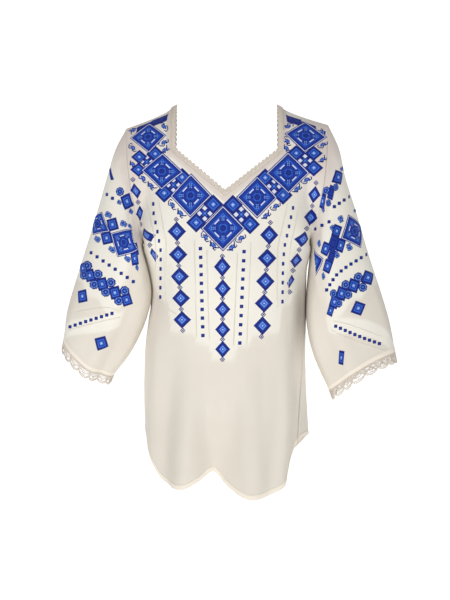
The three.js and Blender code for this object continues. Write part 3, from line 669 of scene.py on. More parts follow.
sleeveLook = {
    "around": 132, "lengthwise": 115, "girth": 430.0, "ringStep": 60.0, "cut": (0.43, 0.44),
    "hemRows": [6.87, 6.91, 6.96, 7.0], "hemFrom": 6.84, "hemRaise": 0.5, "seamDip": 0.5, "seamWide": 0.04,
    # The last two entries set painted shade on the sleeve top, fading down the arm.
    "sleeveTopShadeTo": 2.1, "facingAndShoulderShade": 0.85,
}
sleeveCreases = {
    # around, along, around, along in flat millimetres, width, depth
    1: [
        (100, 20, 92, 130, 8, -2.4), (124, 10, 120, 90, 8, 1.8), (150, 4, 156, 80, 9, -1.6),
        (60, 60, 74, 200, 10, -2.6), (40, 120, 60, 260, 9, 2.2), (330, 20, 336, 140, 9, -2.4),
        (300, 8, 296, 100, 8, 1.8), (370, 60, 356, 220, 10, -2.6), (86, 250, 110, 400, 12, -2.0),
        (170, 260, 176, 410, 12, 1.8), (250, 240, 262, 400, 12, -1.8), (20, 260, 30, 400, 10, 2.0),
        (210, 100, 214, 230, 12, 1.2), (395, 250, 400, 400, 10, -2.0),
    ],
    -1: [
        (96, 24, 84, 140, 8, -2.4), (120, 10, 112, 96, 8, 2.0), (148, 4, 150, 70, 9, -1.4),
        (56, 70, 70, 210, 10, -2.4), (34, 130, 58, 280, 9, 2.2), (334, 20, 342, 140, 9, -2.4),
        (304, 8, 300, 100, 8, 1.8), (374, 60, 360, 220, 10, -2.4), (92, 270, 104, 410, 12, -1.8),
        (160, 280, 166, 410, 12, 1.6), (256, 240, 262, 390, 12, -1.8), (16, 260, 24, 400, 10, 1.8),
        (206, 90, 212, 220, 12, 1.2), (400, 240, 404, 390, 10, -2.0),
    ],
}
sleeveBacked = {
    "to": 4.72, "soft": 0.1, "wave": 0.08, "waves": 60.0, "sides": (0.36, 0.29),
    "stripFrom": (0.16, 4.75), "stripTo": (0.4, 6.55), "stripHalf": 0.32, "stripSoft": 0.08,
}


def sleeveBacking(share, along):  # the lighter cloth behind the bands, and a slanted strip below them
    look = sleeveBacked
    fromOuter = np.abs(share - 0.5)
    edge = along + look["wave"] * np.sin(fromOuter * look["waves"])
    backed = ease(look["to"] + look["soft"], look["to"] - look["soft"], edge)
    backed = backed * ease(*look["sides"], fromOuter)
    (shareLow, alongLow), (shareHigh, alongHigh) = look["stripFrom"], look["stripTo"]
    t = ((0.5 - fromOuter) - shareLow) / (shareHigh - shareLow)
    away = np.abs(along - blend(alongLow, alongHigh, t))
    strip = ease(look["stripHalf"] + look["stripSoft"], look["stripHalf"] - look["stripSoft"], away)
    return np.maximum(backed, strip * ease(-0.1, -0.02, t))


def makeSleeve(side, name):
    look = sleeveLook
    share = np.linspace(0, 1, look["around"] + 1)[None, :]
    aboveHem = np.linspace(0, look["hemFrom"], look["lengthwise"] + 1)
    along = np.concatenate([aboveHem, look["hemRows"]])[:, None]
    points = easedArmpit(sleevePoint(side, share, along))
    points[:, -1] = points[:, 0]
    normals = gridNormals(points, closed=True) * -side
    flatX, flatY = np.broadcast_arrays(share * look["girth"], along * look["ringStep"])
    lift = creaseDepth(flatX, flatY, sleeveCreases[side]) * ease(0, 0.4, along) * ease(7, 6.4, along)
    lift = lift * ease(0, 0.05, share) * ease(1, 0.95, share)
    inHem = ease(look["hemFrom"] + 0.005, look["hemRows"][0], along) + 0 * share
    lift = lift + look["hemRaise"] * inHem - look["seamDip"] * hump(along, look["seamWide"])
    # Painted shade on the sleeve top. The sleeves get none of the painted underarm shadow.
    tones = {"backing": sleeveBacking(share, along), "hem": inHem, "underarmShadow": 0 * inHem,
             "facingAndShoulderShade": ease(look["sleeveTopShadeTo"], 0.2, along) * look["facingAndShoulderShade"] + 0 * share}
    moved = points + normals * lift[..., None]
    return sewCloth(name, moved, tones, look["cut"], closed=True, flip=side > 0)


sleevePieces, sleeveTrees = {}, {}
for side, name, node in ((1, "leftSleeve", "sleeve_left"), (-1, "rightSleeve", "sleeve_right")):
    sleevePieces[side], sleeveTrees[side] = makeSleeve(side, name)
    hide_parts(node)
print("sleeves sewn")


# Lace, as strands of cotton laid along each edge

def makeStrands(name, strands, material):  # each strand is its points, its thickness and whether it closes
    line = bpy.data.curves.new(name + "Line", "CURVE")
    line.dimensions, line.bevel_depth, line.bevel_resolution, line.use_fill_caps = "3D", 1.0, 1, True
    for points, radius, cyclic in strands:
        spline = line.splines.new("POLY")
        spline.points.add(len(points) - 1)
        spline.points.foreach_set("co", np.column_stack([points * mm, np.ones(len(points))]).ravel())
        spline.points.foreach_set("radius", [radius * mm] * len(points))
        spline.use_cyclic_u = cyclic
    maker = bpy.data.objects.new(name + "Maker", line)
    bpy.context.scene.collection.objects.link(maker)
    mesh = bpy.data.meshes.new_from_object(maker.evaluated_get(bpy.context.evaluated_depsgraph_get()))
    bpy.data.objects.remove(maker)
    mesh.name = name
    mesh.materials.clear()
    mesh.materials.append(material)
    mesh.polygons.foreach_set("use_smooth", [True] * len(mesh.polygons))
    piece = bpy.data.objects.new(name, mesh)
    bpy.context.scene.collection.objects.link(piece)
    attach(piece, "root")
    return piece


def arc(points, count):  # a rounded line through a few points of a lace repeat
    return throughPoints(np.array(points, float), np.linspace(0, 1, count), closed=False)


runnerRipple = {"high": 0.12, "turn": 2.1}


def laceStrands(toCloth, repeats, unitStrands, runners, perRepeat):
    strands = []
    for down, lift, radius in runners:
        s = np.linspace(0, repeats, repeats * perRepeat + 1)
        ripple = runnerRipple["high"] * np.sin(s * perRepeat * runnerRipple["turn"])
        strands.append((toCloth(s / repeats, down + 0 * s, lift + ripple), radius, False))
    for repeat in range(repeats):
        for shape, lift, radius in unitStrands:
            s, down = (repeat + shape[:, 0]) / repeats, shape[:, 1]
            strands.append((toCloth(np.clip(s, 0, 1), down, lift + 0 * s), radius, False))
    return strands


def loopPoints(s, down, wide, tall, count):
    turn = np.linspace(0, 2 * math.pi, count)
    return np.column_stack([s + wide * np.sin(turn), down + tall * (1 - np.cos(turn)) / 2])


cuffLaceLook = {
    "depth": 20.0, "fall": 0.5, "flare": -0.08, "inset": 0.6, "repeats": 16, "perRepeat": 10,
    "runners": [(0.02, 0.2, 0.85), (0.1, 0.3, 0.7), (0.19, 0.2, 0.85)],
    "repeat": [
        # the header's posts
        *[(arc([(x, 0.03), (x, 0.18)], 3), 0.1, 0.55) for x in (0.1, 0.3, 0.5, 0.7, 0.9)],
        # the net and the arch round it
        (arc([(0.06, 0.2), (0.16, 0.42), (0.38, 0.55), (0.62, 0.55), (0.84, 0.42), (0.94, 0.2)], 15),
         0.2, 0.95),
        *[(arc([(x, 0.2), (blend(x, 0.5, 0.25), end)], 3), 0.0, 0.42)
          for x, end in ((0.22, 0.42), (0.36, 0.5), (0.5, 0.53), (0.64, 0.5), (0.78, 0.42))],
        (arc([(0.13, 0.33), (0.5, 0.37), (0.87, 0.33)], 7), 0.0, 0.42),
        # the leaves between the arches
        (arc([(0.0, 0.22), (-0.11, 0.45), (0.0, 0.72), (0.11, 0.45), (0.0, 0.22)], 13), 0.3, 0.8),
        (arc([(0.0, 0.26), (0.0, 0.7)], 5), 0.4, 0.9),
        # the scalloped edge
        (arc([(0.0, 0.7), (0.14, 0.82), (0.34, 0.93), (0.5, 0.95), (0.66, 0.93), (0.86, 0.82), (1.0, 0.7)],
             17), 0.2, 1.0),
        (arc([(0.02, 0.62), (0.2, 0.72), (0.5, 0.79), (0.8, 0.72), (0.98, 0.62)], 13), 0.3, 0.8),
        *[(arc([(x, low), (x, high)], 3), 0.1, 0.5)
          for x, low, high in ((0.2, 0.72, 0.86), (0.35, 0.76, 0.92), (0.5, 0.78, 0.95), (0.65, 0.76, 0.92),
                               (0.8, 0.72, 0.86))],
        (arc([(0.4, 0.56), (0.5, 0.78)], 4), 0.1, 0.6), (arc([(0.6, 0.56), (0.5, 0.78)], 4), 0.1, 0.6),
        *[(loopPoints(x, low, 0.03, 0.07, 7), 0.1, 0.45)
          for x, low in ((0.16, 0.86), (0.33, 0.94), (0.5, 0.97), (0.67, 0.94), (0.84, 0.86))],
    ],
}


def makeCuffLace(side, name, nodes):
    look, rings = cuffLaceLook, sleeveForm["rings"]
    _, _, reach, front, _ = ringFrame(side, rings - 1)
    axis = unit(np.cross(reach, front))
    fall = unit(blend(axis * side, np.array([0, 0, -1.0]), look["fall"]))

    def toCloth(share, drop, lift):
        before, edge, after = (sleevePoint(side, share + step, rings) for step in (-0.005, 0, 0.005))
        outward = unit(np.cross(axis, unit(after - before)))
        deep = (drop * look["depth"])[..., None]
        return edge + fall * deep + outward * (deep * look["flare"] + lift[..., None] - look["inset"])

    strands = laceStrands(toCloth, look["repeats"], look["repeat"], look["runners"], look["perRepeat"])
    lace = makeStrands(name, strands, laceMaterial)
    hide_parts(*nodes)
    return lace


leftCuffLace = makeCuffLace(1, "leftCuffLace", ["cuff_lace_left_front", "cuff_lace_left_back"])
rightCuffLace = makeCuffLace(-1, "rightCuffLace", ["cuff_lace_right_front", "cuff_lace_right_back"])

neckLaceLook = {
    "width": 9.0, "lift": 5.0, "lean": 3.0, "repeats": 54, "perRepeat": 4,
    "runners": [(-0.1, 0.5, 0.8), (0.06, 0.4, 0.6), (0.24, 0.4, 0.8), (0.4, 0.3, 0.5), (0.56, 0.25, 0.5)],
    "repeat": [
        *[(arc([(x, -0.06), (x, 0.74)], 3), 0.3, 0.55) for x in (0.06, 0.28, 0.5, 0.72, 0.94)],
        (arc([(0.0, 0.28), (0.1, 0.6), (0.32, 0.8), (0.5, 0.84), (0.68, 0.8), (0.9, 0.6), (1.0, 0.28)], 11),
         0.2, 0.95),
        *[(arc([(x, 0.24), (blend(x, 0.5, 0.3), 0.8)], 3), 0.15, 0.6) for x in (0.2, 0.4, 0.6, 0.8)],
        (arc([(0.1, 0.5), (0.5, 0.56), (0.9, 0.5)], 5), 0.3, 0.6),
        *[(loopPoints(x, low, 0.08, 0.16, 6), 0.2, 0.55)
          for x, low in ((0.25, 0.74), (0.5, 0.84), (0.75, 0.74))],
    ],
}


def neckEdge(half, count):  # points round the neckline from the right shoulder to the left
    edge, cornerRow, topRow = bodyForm["neckAcross"], bodyForm["cornerRow"], bodyForm["yokeRows"]
    down, along = np.linspace(topRow, cornerRow, count), np.linspace(-edge, edge, 2 * count - 1)
    across = np.concatenate([-edge + 0 * down[:-1], along, edge + 0 * down[1:]])
    row = np.concatenate([down[:-1], cornerRow + 0 * along, down[::-1][1:]])
    return panelPoint(half, across, row), np.abs(across) / edge, np.where(across < 0, -1.0, 1.0)


def makeNeckLace(half, nodes):
    look, neck = neckLaceLook, bodyForm[half + "Neck"]
    points, share, side = neckEdge(half, 60)
    slope = math.atan2(neck["cornerZ"] - neck["middleZ"], neck["cornerX"])
    steps = np.linalg.norm(np.diff(points, axis=0), axis=1)
    length = np.concatenate([[0], np.cumsum(steps)])
    facing = 1 if half == "front" else -1
    reach = np.column_stack([-side * look["width"] * share, look["lean"] * facing * (1 - share),
                             blend(look["width"] / math.cos(slope), look["lift"], share)])
    outward = unit(np.cross(np.gradient(points, axis=0), reach)) * facing

    def toCloth(place, drop, lift):
        edge, down, out = (
            np.stack([np.interp(place * length[-1], length, table[:, k]) for k in range(3)], -1)
            for table in (points, reach, outward)
        )
        return edge + down * drop[..., None] + out * lift[..., None]

    strands = laceStrands(toCloth, look["repeats"], look["repeat"], look["runners"], look["perRepeat"])
    lace = makeStrands(half + "NeckLace", strands, laceMaterial)
    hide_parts(*nodes)
    return lace


frontNeckLace = makeNeckLace("front", ["neck_lace_front"])
backNeckLace = makeNeckLace("back", ["neck_lace_back"])
print("lace laid")


# Places on the cloth are given by the column and row where the camera sees them

cameraLook = {
    "place": (-0.0037, -2.0, -0.22), "aim": (-0.0037, 0.0, -0.35335), "lens": 65.0, "sensor": 36.0,
    "columns": 450, "rows": 600,
}
viewStep = 0.00176  # what one column of the camera's view spans on the cloth
longestStretch = 2.0  # how much longer a step may be where the cloth turns away
sideRange = (0.5, 1.35)


def sightLine(column, row, behind):  # from the camera, or from its mirror image behind the blouse
    place = Vector(cameraLook["place"])
    forward = (Vector(cameraLook["aim"]) - place).normalized()
    right = forward.cross((0, 0, 1)).normalized()
    focal = cameraLook["lens"] / cameraLook["sensor"] * cameraLook["rows"]
    way = forward + right * ((column - cameraLook["columns"] / 2) / focal)
    way += right.cross(forward) * ((cameraLook["rows"] / 2 - row) / focal)
    if behind:
        place.y, way.y = -place.y, -way.y
    return place, way.normalized()


def seenSpot(tree, column, row, behind=False):
    return tree.ray_cast(*sightLine(column, row, behind))[:2]


def wayOnCloth(spot, column, row, step, behind, stretch=longestStretch):
    point, normal = spot
    place, way = sightLine(column + step[0], row + step[1], behind)
    over = place + way * ((point - place).dot(normal) / way.dot(normal)) - point
    longest = math.hypot(*step) * viewStep * stretch
    return over.normalized() * min(over.length, longest)


# Cross-stitch: every motif is a small chart of stitches, laid on the cloth cell by cell

threadColours = {"n": "navy", "r": "royal", "m": "mid", "s": "sky", "w": "white"}
narrowRings = {"star": [0.7, 0.6], "starCorner": [0.7, 0.6]}  # outer stitches finer than the rest
stitchHeight = {"knot": 0.5, "corner": 0.3, "side": 0.12, "edge": -0.04}
stitchLift = {"star": 0.3, "square": 0.15, "shell": 0.15}  # where motifs meet, one lies over the other


def textChart(rows):  # the first row is the top one
    return [[None if mark == "." else mark for mark in row] for row in rows[::-1]]


def ringChart(rings):  # nested squares, from the outside in
    size = 2 * len(rings) - 1
    return [[rings[min(i, j, size - 1 - i, size - 1 - j)] for i in range(size)] for j in range(size)]


starRings = {8: "m", 9: "r", 10: "r", 11: "n", 12: "w", 13: "n"}
starEighth = {0: "n", 1: "rn", 2: "nnm", 3: "mmrn", 4: "rrrrn", 5: "rrrnsn", 6: "nnrrnsn", 7: "wwwrrnsr"}


def starMark(i, j):  # the same in every eighth of the large square
    near, far = sorted((abs(i), abs(j)))
    return starRings[far] if far in starRings else starEighth[far][near]


def starChart(shown=52):  # shown is how far the stitching reaches from the last corner
    reach = max(starRings)
    marks = range(-reach, reach + 1)
    return [[starMark(i, j) if 2 * reach - i - j <= shown else None for i in marks] for j in marks]


charts = {
    "star": starChart(),
    "starCorner": starChart(17),
    "square": ringChart("nnmrsw"),
    "chain": ringChart("nnrsmw"),
    "mesh": ringChart("nrnrn"),
    "link": textChart(["nnnnn", "n.n.n", "nnnnn", "n.n.n", "nnnnn"]),
    "dot": ringChart("nr"),
    "four": textChart([
        "nnnnnnnnnnn", "nwwwnnnwwwn", "nwwwnnnwwwn", "nwwwnmnwwwn", "nnnnnmnnnnn", "nnnmmsmmnnn",
        "nnnnnmnnnnn", "nwwwnmnwwwn", "nwwwnnnwwwn", "nwwwnnnwwwn", "nnnnnnnnnnn",
    ]),
    "hook": textChart([
        "nnn.........", "n...nnnn....", "n.nnmmsmn...", "nn.nsmmsnn.n", ".nn.nnnnn.nn", "..nnn..nnnn.",
    ]),
    "block": textChart([
        "...........n", "n..nnnnn..nn", "nnnssmmsnnn.", ".nnnsmmsnn..", "..nnnnnnn.n.", "...nn..nnnn.",
    ]),
    "scroll": textChart([
        "..nnn...", ".nsssn..", "nsnnnsn.", "nsnmnsn.", "nssnssnn", ".nnsnnsn", "...nssn.", "....nn..",
    ]),
    "shell": textChart([
        "..nnnnn..", ".nnsssnn.", "nnsnnnsnn", "nsnnmnnsn", "nsnmsmnsn", "nsnnmnnsn", "nnsnnnsnn",
        ".nnsssnn.", "..nnnnn..",
    ]),
    "seam": textChart(["nnnnnnnnnn", "nnrnnnrnnn", "nnnnnnnnnn"]),
}


walkSteps = ((10, 1), (26, 2), (math.inf, 4))  # charts of up to this size, in so many steps


def layOnCloth(tree, spot, arrows, steps):  # walks over the cloth along each arrow
    laid = []
    for arrow in arrows:
        point, normal = spot
        long = arrow.length
        for _ in range(steps):
            arrow = arrow - normal * arrow.dot(normal)
            if long > 0:
                arrow = arrow.normalized() * long
            point, normal = tree.find_nearest(point + arrow / steps)[:2]
        laid.append((point, normal))
    return laid


def gridLines(count, narrow):  # from 0 to 1, with a line through the middle of every stitch
    widths = narrow + [1.0] * (count - 2 * len(narrow)) + narrow[::-1]
    lines = np.repeat(widths, 2).cumsum() / (2 * sum(widths))
    return [0.0, *lines]


def stitchMotif(bm, tree, name, spot, across, up):  # across and up span the whole chart
    chart, layer = charts[name], bm.loops.layers.float_color["thread"]
    if across.cross(up).dot(spot[1]) < 0:
        across = -across
    high, wide = len(chart), len(chart[0])

    def filled(i, j):
        return 0 <= i < wide and 0 <= j < high and chart[j][i] is not None

    made = bmesh.ops.create_grid(bm, x_segments=2 * wide, y_segments=2 * high, size=1)["verts"]
    places = [(round((v.co.x + 1) * wide), round((v.co.y + 1) * high)) for v in made]
    narrow = narrowRings.get(name, [])
    lineX, lineY = gridLines(wide, narrow), gridLines(high, narrow)
    arrows = [across * (lineX[i] - 0.5) + up * (lineY[j] - 0.5) for i, j in places]
    long = max(across.length, up.length) / mm
    steps = next(count for upTo, count in walkSteps if long < upTo)
    laid = layOnCloth(tree, spot, arrows, steps)
    for vert, (i, j), (point, outward) in zip(made, places, laid):
        near = [filled((i + di) // 2, (j + dj) // 2) for di in (-1, 0) for dj in (-1, 0)]
        kind = ("corner", "side", "knot")[i % 2 + j % 2] if all(near) else "edge"
        vert.co = point + outward * (stitchHeight[kind] + stitchLift.get(name, 0.0)) * mm
    spotOf = dict(zip(made, places))
    for face in {face for vert in made for face in vert.link_faces}:
        i, j = (min(spotOf[v][k] for v in face.verts) // 2 for k in (0, 1))
        if not filled(i, j):
            bm.faces.remove(face)
            continue
        for loop in face.loops:
            loop[layer] = threadLook[threadColours[chart[j][i]]]
    bmesh.ops.delete(bm, geom=[vert for vert in made if not vert.link_faces], context="VERTS")


def slideOnCloth(tree, spot, arrows, away, steps=6):  # carries two arrows over the cloth with the spot
    for _ in range(steps):
        move = (arrows[0] * away[0] + arrows[1] * away[1]) / steps
        spot = tree.find_nearest(spot[0] + move)[:2]
        arrows = [(arrow - spot[1] * arrow.dot(spot[1])).normalized() * arrow.length for arrow in arrows]
    return spot, arrows


def joinedTree(*pieces):  # one surface to stitch on where pieces meet
    corners, faces = [], []
    for piece in pieces:
        faces += [[len(corners) + i for i in face.vertices] for face in piece.data.polygons]
        corners += [vert.co.copy() for vert in piece.data.vertices]
    return BVHTree.FromPolygons(corners, faces)


def stitchSeen(bm, tree, chart, column, row, across, up, behind=False, side=None, growth=1.0,
               stretch=longestStretch):
    spot = seenSpot(tree, column, row, behind)
    if spot[0] is None:
        return
    arrows = [wayOnCloth(spot, column, row, step, behind, stretch) * growth for step in (across, up)]
    if side:  # a real size, which the size that is seen may differ from a little
        low, high = sideRange
        arrows = [arrow.normalized() * min(max(arrow.length, side * low), side * high) for arrow in arrows]
    stitchMotif(bm, tree, chart, spot, *arrows)


def newStitching():
    bm = bmesh.new()
    bm.loops.layers.float_color.new("thread")
    return bm


def diamond(wide, tall):  # the two edges of a square that stands on its corner
    return (wide / 2, tall / 2), (wide / 2, -tall / 2)


def alongPath(points, count):
    points = np.array(points, float)
    length = np.concatenate([[0], np.cumsum(np.linalg.norm(np.diff(points, axis=0), axis=1))])
    at = np.linspace(0, length[-1], count)
    return np.column_stack([np.interp(at, length, points[:, k]) for k in (0, 1)])


frontStitches = {
    "growth": {"square": 1.05, "four": 1.03},
    "stars": [  # column, row, edge down to the right, edge up to the right
        (223.0, 228.2, (22.6, 23.2), (22.6, -23.4)),
        (190.6, 195.4, (21.2, 22.2), (21.8, -22.6)), (257.2, 197.2, (20.8, 21.6), (20.8, -21.2)),
        (162.0, 171.2, (20.4, 19.8), (21.2, -18.4)), (288.4, 172.8, (21.0, 21.4), (20.8, -20.8)),
        (148.1, 136.9, (18.2, 14.0), (18.4, -16.8)), (305.8, 135.8, (21.0, 17.6), (21.2, -13.4)),
    ],
    "squares": [  # column, row, width, height
        (213.3, 204.4, 19.2, 19.2), (196.2, 222.6, 19.4, 19.2), (232.9, 204.8, 19.2, 19.2),
        (250.0, 224.3, 19.4, 19.2), (182.2, 177.2, 18.4, 18.0), (164.3, 193.1, 19.2, 18.6),
        (265.2, 177.7, 18.2, 18.0), (283.0, 195.1, 19.2, 18.6), (155.3, 153.8, 17.2, 15.6),
        (138.4, 169.6, 16.0, 13.8), (139.4, 157.0, 16.0, 14.2), (296.2, 153.2, 18.0, 15.6),
        (313.8, 167.8, 18.4, 16.4), (313.8, 153.2, 17.2, 14.6),
    ],
    "fours": [
        (204.8, 213.4, 18.6, 18.8), (241.3, 214.5, 18.6, 18.8), (173.4, 185.1, 18.4, 18.2),
        (274.1, 186.4, 18.2, 18.2), (146.9, 161.6, 16.6, 14.8), (305.1, 160.6, 17.6, 15.4),
    ],
    "ornaments": [  # chart, column, row, way along the edge, way towards the square
        ("hook", 205.4, 236.8, (7.2, 7.2), (5.6, -5.6)), ("block", 213.6, 245.4, (7.0, 7.0), (5.6, -5.6)),
        ("hook", 240.8, 238.2, (-7.2, 7.2), (-5.6, -5.6)),
        ("block", 232.0, 247.0, (-7.0, 7.0), (-5.6, -5.6)),
        ("hook", 172.4, 204.8, (7.0, 7.0), (5.6, -5.6)), ("block", 180.8, 213.4, (6.8, 6.8), (5.4, -5.4)),
        ("hook", 275.6, 206.2, (-7.0, 7.0), (-5.6, -5.6)),
        ("block", 266.2, 215.4, (-6.8, 6.8), (-5.4, -5.4)),
        ("hook", 143.2, 178.2, (7.0, 6.4), (5.6, -5.2)), ("block", 151.2, 185.8, (6.8, 6.4), (5.4, -5.0)),
        ("hook", 306.4, 179.8, (-7.0, 6.6), (-5.6, -5.2)),
        ("block", 297.2, 188.8, (-6.8, 6.6), (-5.4, -5.2)),
        ("hook", 132.8, 147.6, (6.8, 5.4), (5.4, -4.8)), ("block", 133.0, 164.4, (6.2, 5.2), (5.0, -4.6)),
        ("hook", 163.8, 126.6, (-7.0, -5.4), (-5.4, 5.0)),
        ("hook", 163.8, 142.4, (-6.8, 6.2), (-5.4, -5.0)),
        ("block", 164.8, 149.8, (-6.0, 5.6), (-5.0, -4.6)),
        ("block", 133.0, 130.4, (5.8, -4.4), (4.8, 4.2)),
        ("hook", 322.8, 144.6, (-6.8, 5.8), (-5.4, -4.6)),
        ("block", 322.6, 159.4, (-6.4, 5.4), (-5.2, -4.4)),
        ("hook", 288.2, 126.4, (7.0, -5.4), (5.4, 5.0)), ("hook", 287.4, 141.2, (6.8, 6.2), (5.4, -5.0)),
        ("block", 286.8, 148.4, (6.0, 5.6), (5.0, -4.6)),
        ("block", 322.4, 132.0, (-5.8, -4.4), (-4.8, 4.2)),
    ],
    "ornamentGrowth": (1.18, 0.82),
    "seams": [
        (159.4, 120.4, (17.0, -6.6), (1.8, -7.4)), (294.2, 120.6, (16.0, 5.0), (-1.6, -7.6)),
        (309.4, 126.2, (14.0, 5.6), (-1.4, -6.0)), (144.0, 126.8, (15.0, -6.4), (1.4, -5.8)),
    ],
    "chains": [  # column, row, width, height
        (222.3, 266.8, 17.1, 20.6), (222.7, 288.6, 16.4, 19.4), (222.7, 309.3, 15.8, 18.1),
        (222.7, 329.6, 15.4, 17.7), (222.7, 349.3, 15.4, 17.5), (176.8, 231.4, 18.7, 20.2),
        (178.2, 254.6, 18.9, 19.4), (179.3, 276.6, 18.9, 19.2), (180.7, 298.2, 18.5, 18.7),
        (182.0, 319.8, 18.3, 18.1), (269.3, 235.0, 19.1, 20.2), (267.3, 258.2, 19.1, 19.8),
        (265.5, 281.4, 18.9, 20.0), (264.1, 303.4, 18.7, 19.2), (262.5, 325.7, 17.9, 19.2),
    ],
    "turnedStretch": 3.0,
    "turnedChains": [  # column, row, edge down to the right, edge up to the right
        (135.8, 191.0, (7.4, 8.8), (3.6, -7.4)), (139.7, 213.5, (4.9, 7.0), (4.5, -9.2)),
        (146.1, 235.1, (9.2, 7.3), (2.2, -7.6)), (153.9, 254.8, (6.2, 8.6), (2.2, -5.8)),
        (314.3, 194.6, (5.1, 9.4), (7.8, -8.4)), (310.2, 217.7, (5.6, 9.4), (7.6, -8.2)),
        (303.5, 239.3, (5.1, 8.3), (9.2, -8.0)), (295.9, 260.5, (4.5, 6.8), (7.6, -8.3)),
        (290.4, 281.3, (2.3, 5.2), (5.2, -9.0)),
    ],
    "links": [
        (222.3, 256.2), (222.4, 277.7), (222.4, 298.6), (222.6, 319.1), (222.5, 339.4), (222.4, 359.4),
        (176.3, 219.4), (177.5, 243.0), (178.8, 265.8), (179.9, 287.5), (181.2, 309.2), (182.8, 330.5),
        (270.4, 222.6), (268.3, 246.3), (266.4, 269.7), (264.8, 292.3), (263.4, 314.5), (261.4, 336.7),
        (132.9, 179.6), (138.1, 202.2), (141.2, 224.4), (149.6, 245.1),
        (316.1, 182.9), (312.2, 206.1), (307.0, 228.4), (299.2, 249.9), (292.8, 270.4), (289.6, 291.9),
    ],
    "linkSize": (5.6, 5.8),
    "dots": [  # path, count, width, height
        ([(200.4, 248.6), (202.9, 335.5)], 11, 3.7, 3.7), ([(244.1, 251.6), (239.8, 343.0)], 11, 3.7, 3.7),
        ([(153.2, 203.9), (153.6, 213.8), (157.7, 232.9), (160.8, 251.6), (160.2, 297.1)], 11, 2.5, 4.0),
        ([(293.0, 207.9), (288.9, 227.3), (284.4, 247.0), (283.0, 265.0), (282.5, 301.6)], 11, 2.5, 4.0),
    ],
    "paleLines": [
        [(194.4, 240.0), (196.6, 337.5)], [(206.9, 250.0), (209.2, 339.5)],
        [(250.9, 243.0), (246.6, 345.0)], [(237.4, 254.0), (233.4, 345.0)],
        [(146.4, 197.0), (151.0, 222.0), (156.2, 250.0), (155.8, 292.0), (163.0, 305.0)],
        [(158.4, 200.0), (163.0, 226.0), (166.4, 250.0), (165.0, 286.0), (168.5, 308.0), (176.0, 314.0)],
        [(287.2, 204.0), (282.0, 228.0), (277.6, 250.0), (276.8, 285.0), (278.0, 309.0)],
        [(298.8, 206.0), (293.6, 232.0), (289.6, 252.0), (287.4, 300.0)],
    ],
}


def embroiderFront(plan):
    bm, tree = newStitching(), frontTree
    overSeams = joinedTree(frontPanel, *sleevePieces.values())
    for column, row, across, up in plan["stars"]:
        stitchSeen(bm, tree, "star", column, row, across, up)
    for chart, group in (("square", "squares"), ("four", "fours"), ("chain", "chains")):
        growth = plan["growth"].get(chart, 1.0)
        for column, row, *edges in plan[group]:
            stitchSeen(bm, tree, chart, column, row, *diamond(*edges), growth=growth)
    for column, row, across, up in plan["turnedChains"]:
        stitchSeen(bm, overSeams, "chain", column, row, across, up, stretch=plan["turnedStretch"])
    long, deep = plan["ornamentGrowth"]
    for chart, column, row, across, up in plan["ornaments"]:
        across, up = [part * long for part in across], [part * deep for part in up]
        stitchSeen(bm, tree, chart, column, row, across, up)
    for column, row, across, up in plan["seams"]:
        stitchSeen(bm, tree, "seam", column, row, across, up)
    for column, row in plan["links"]:
        stitchSeen(bm, tree, "link", column, row, *diamond(*plan["linkSize"]))
    for path, count, across, up in plan["dots"]:
        for column, row in alongPath(path, count):
            stitchSeen(bm, tree, "dot", column, row, (across, 0), (0, -up))
    return finishMesh("frontEmbroidery", bm, threadMaterial, smooth=False)


frontEmbroidery = embroiderFront(frontStitches)
print("front embroidered", len(frontEmbroidery.data.polygons))

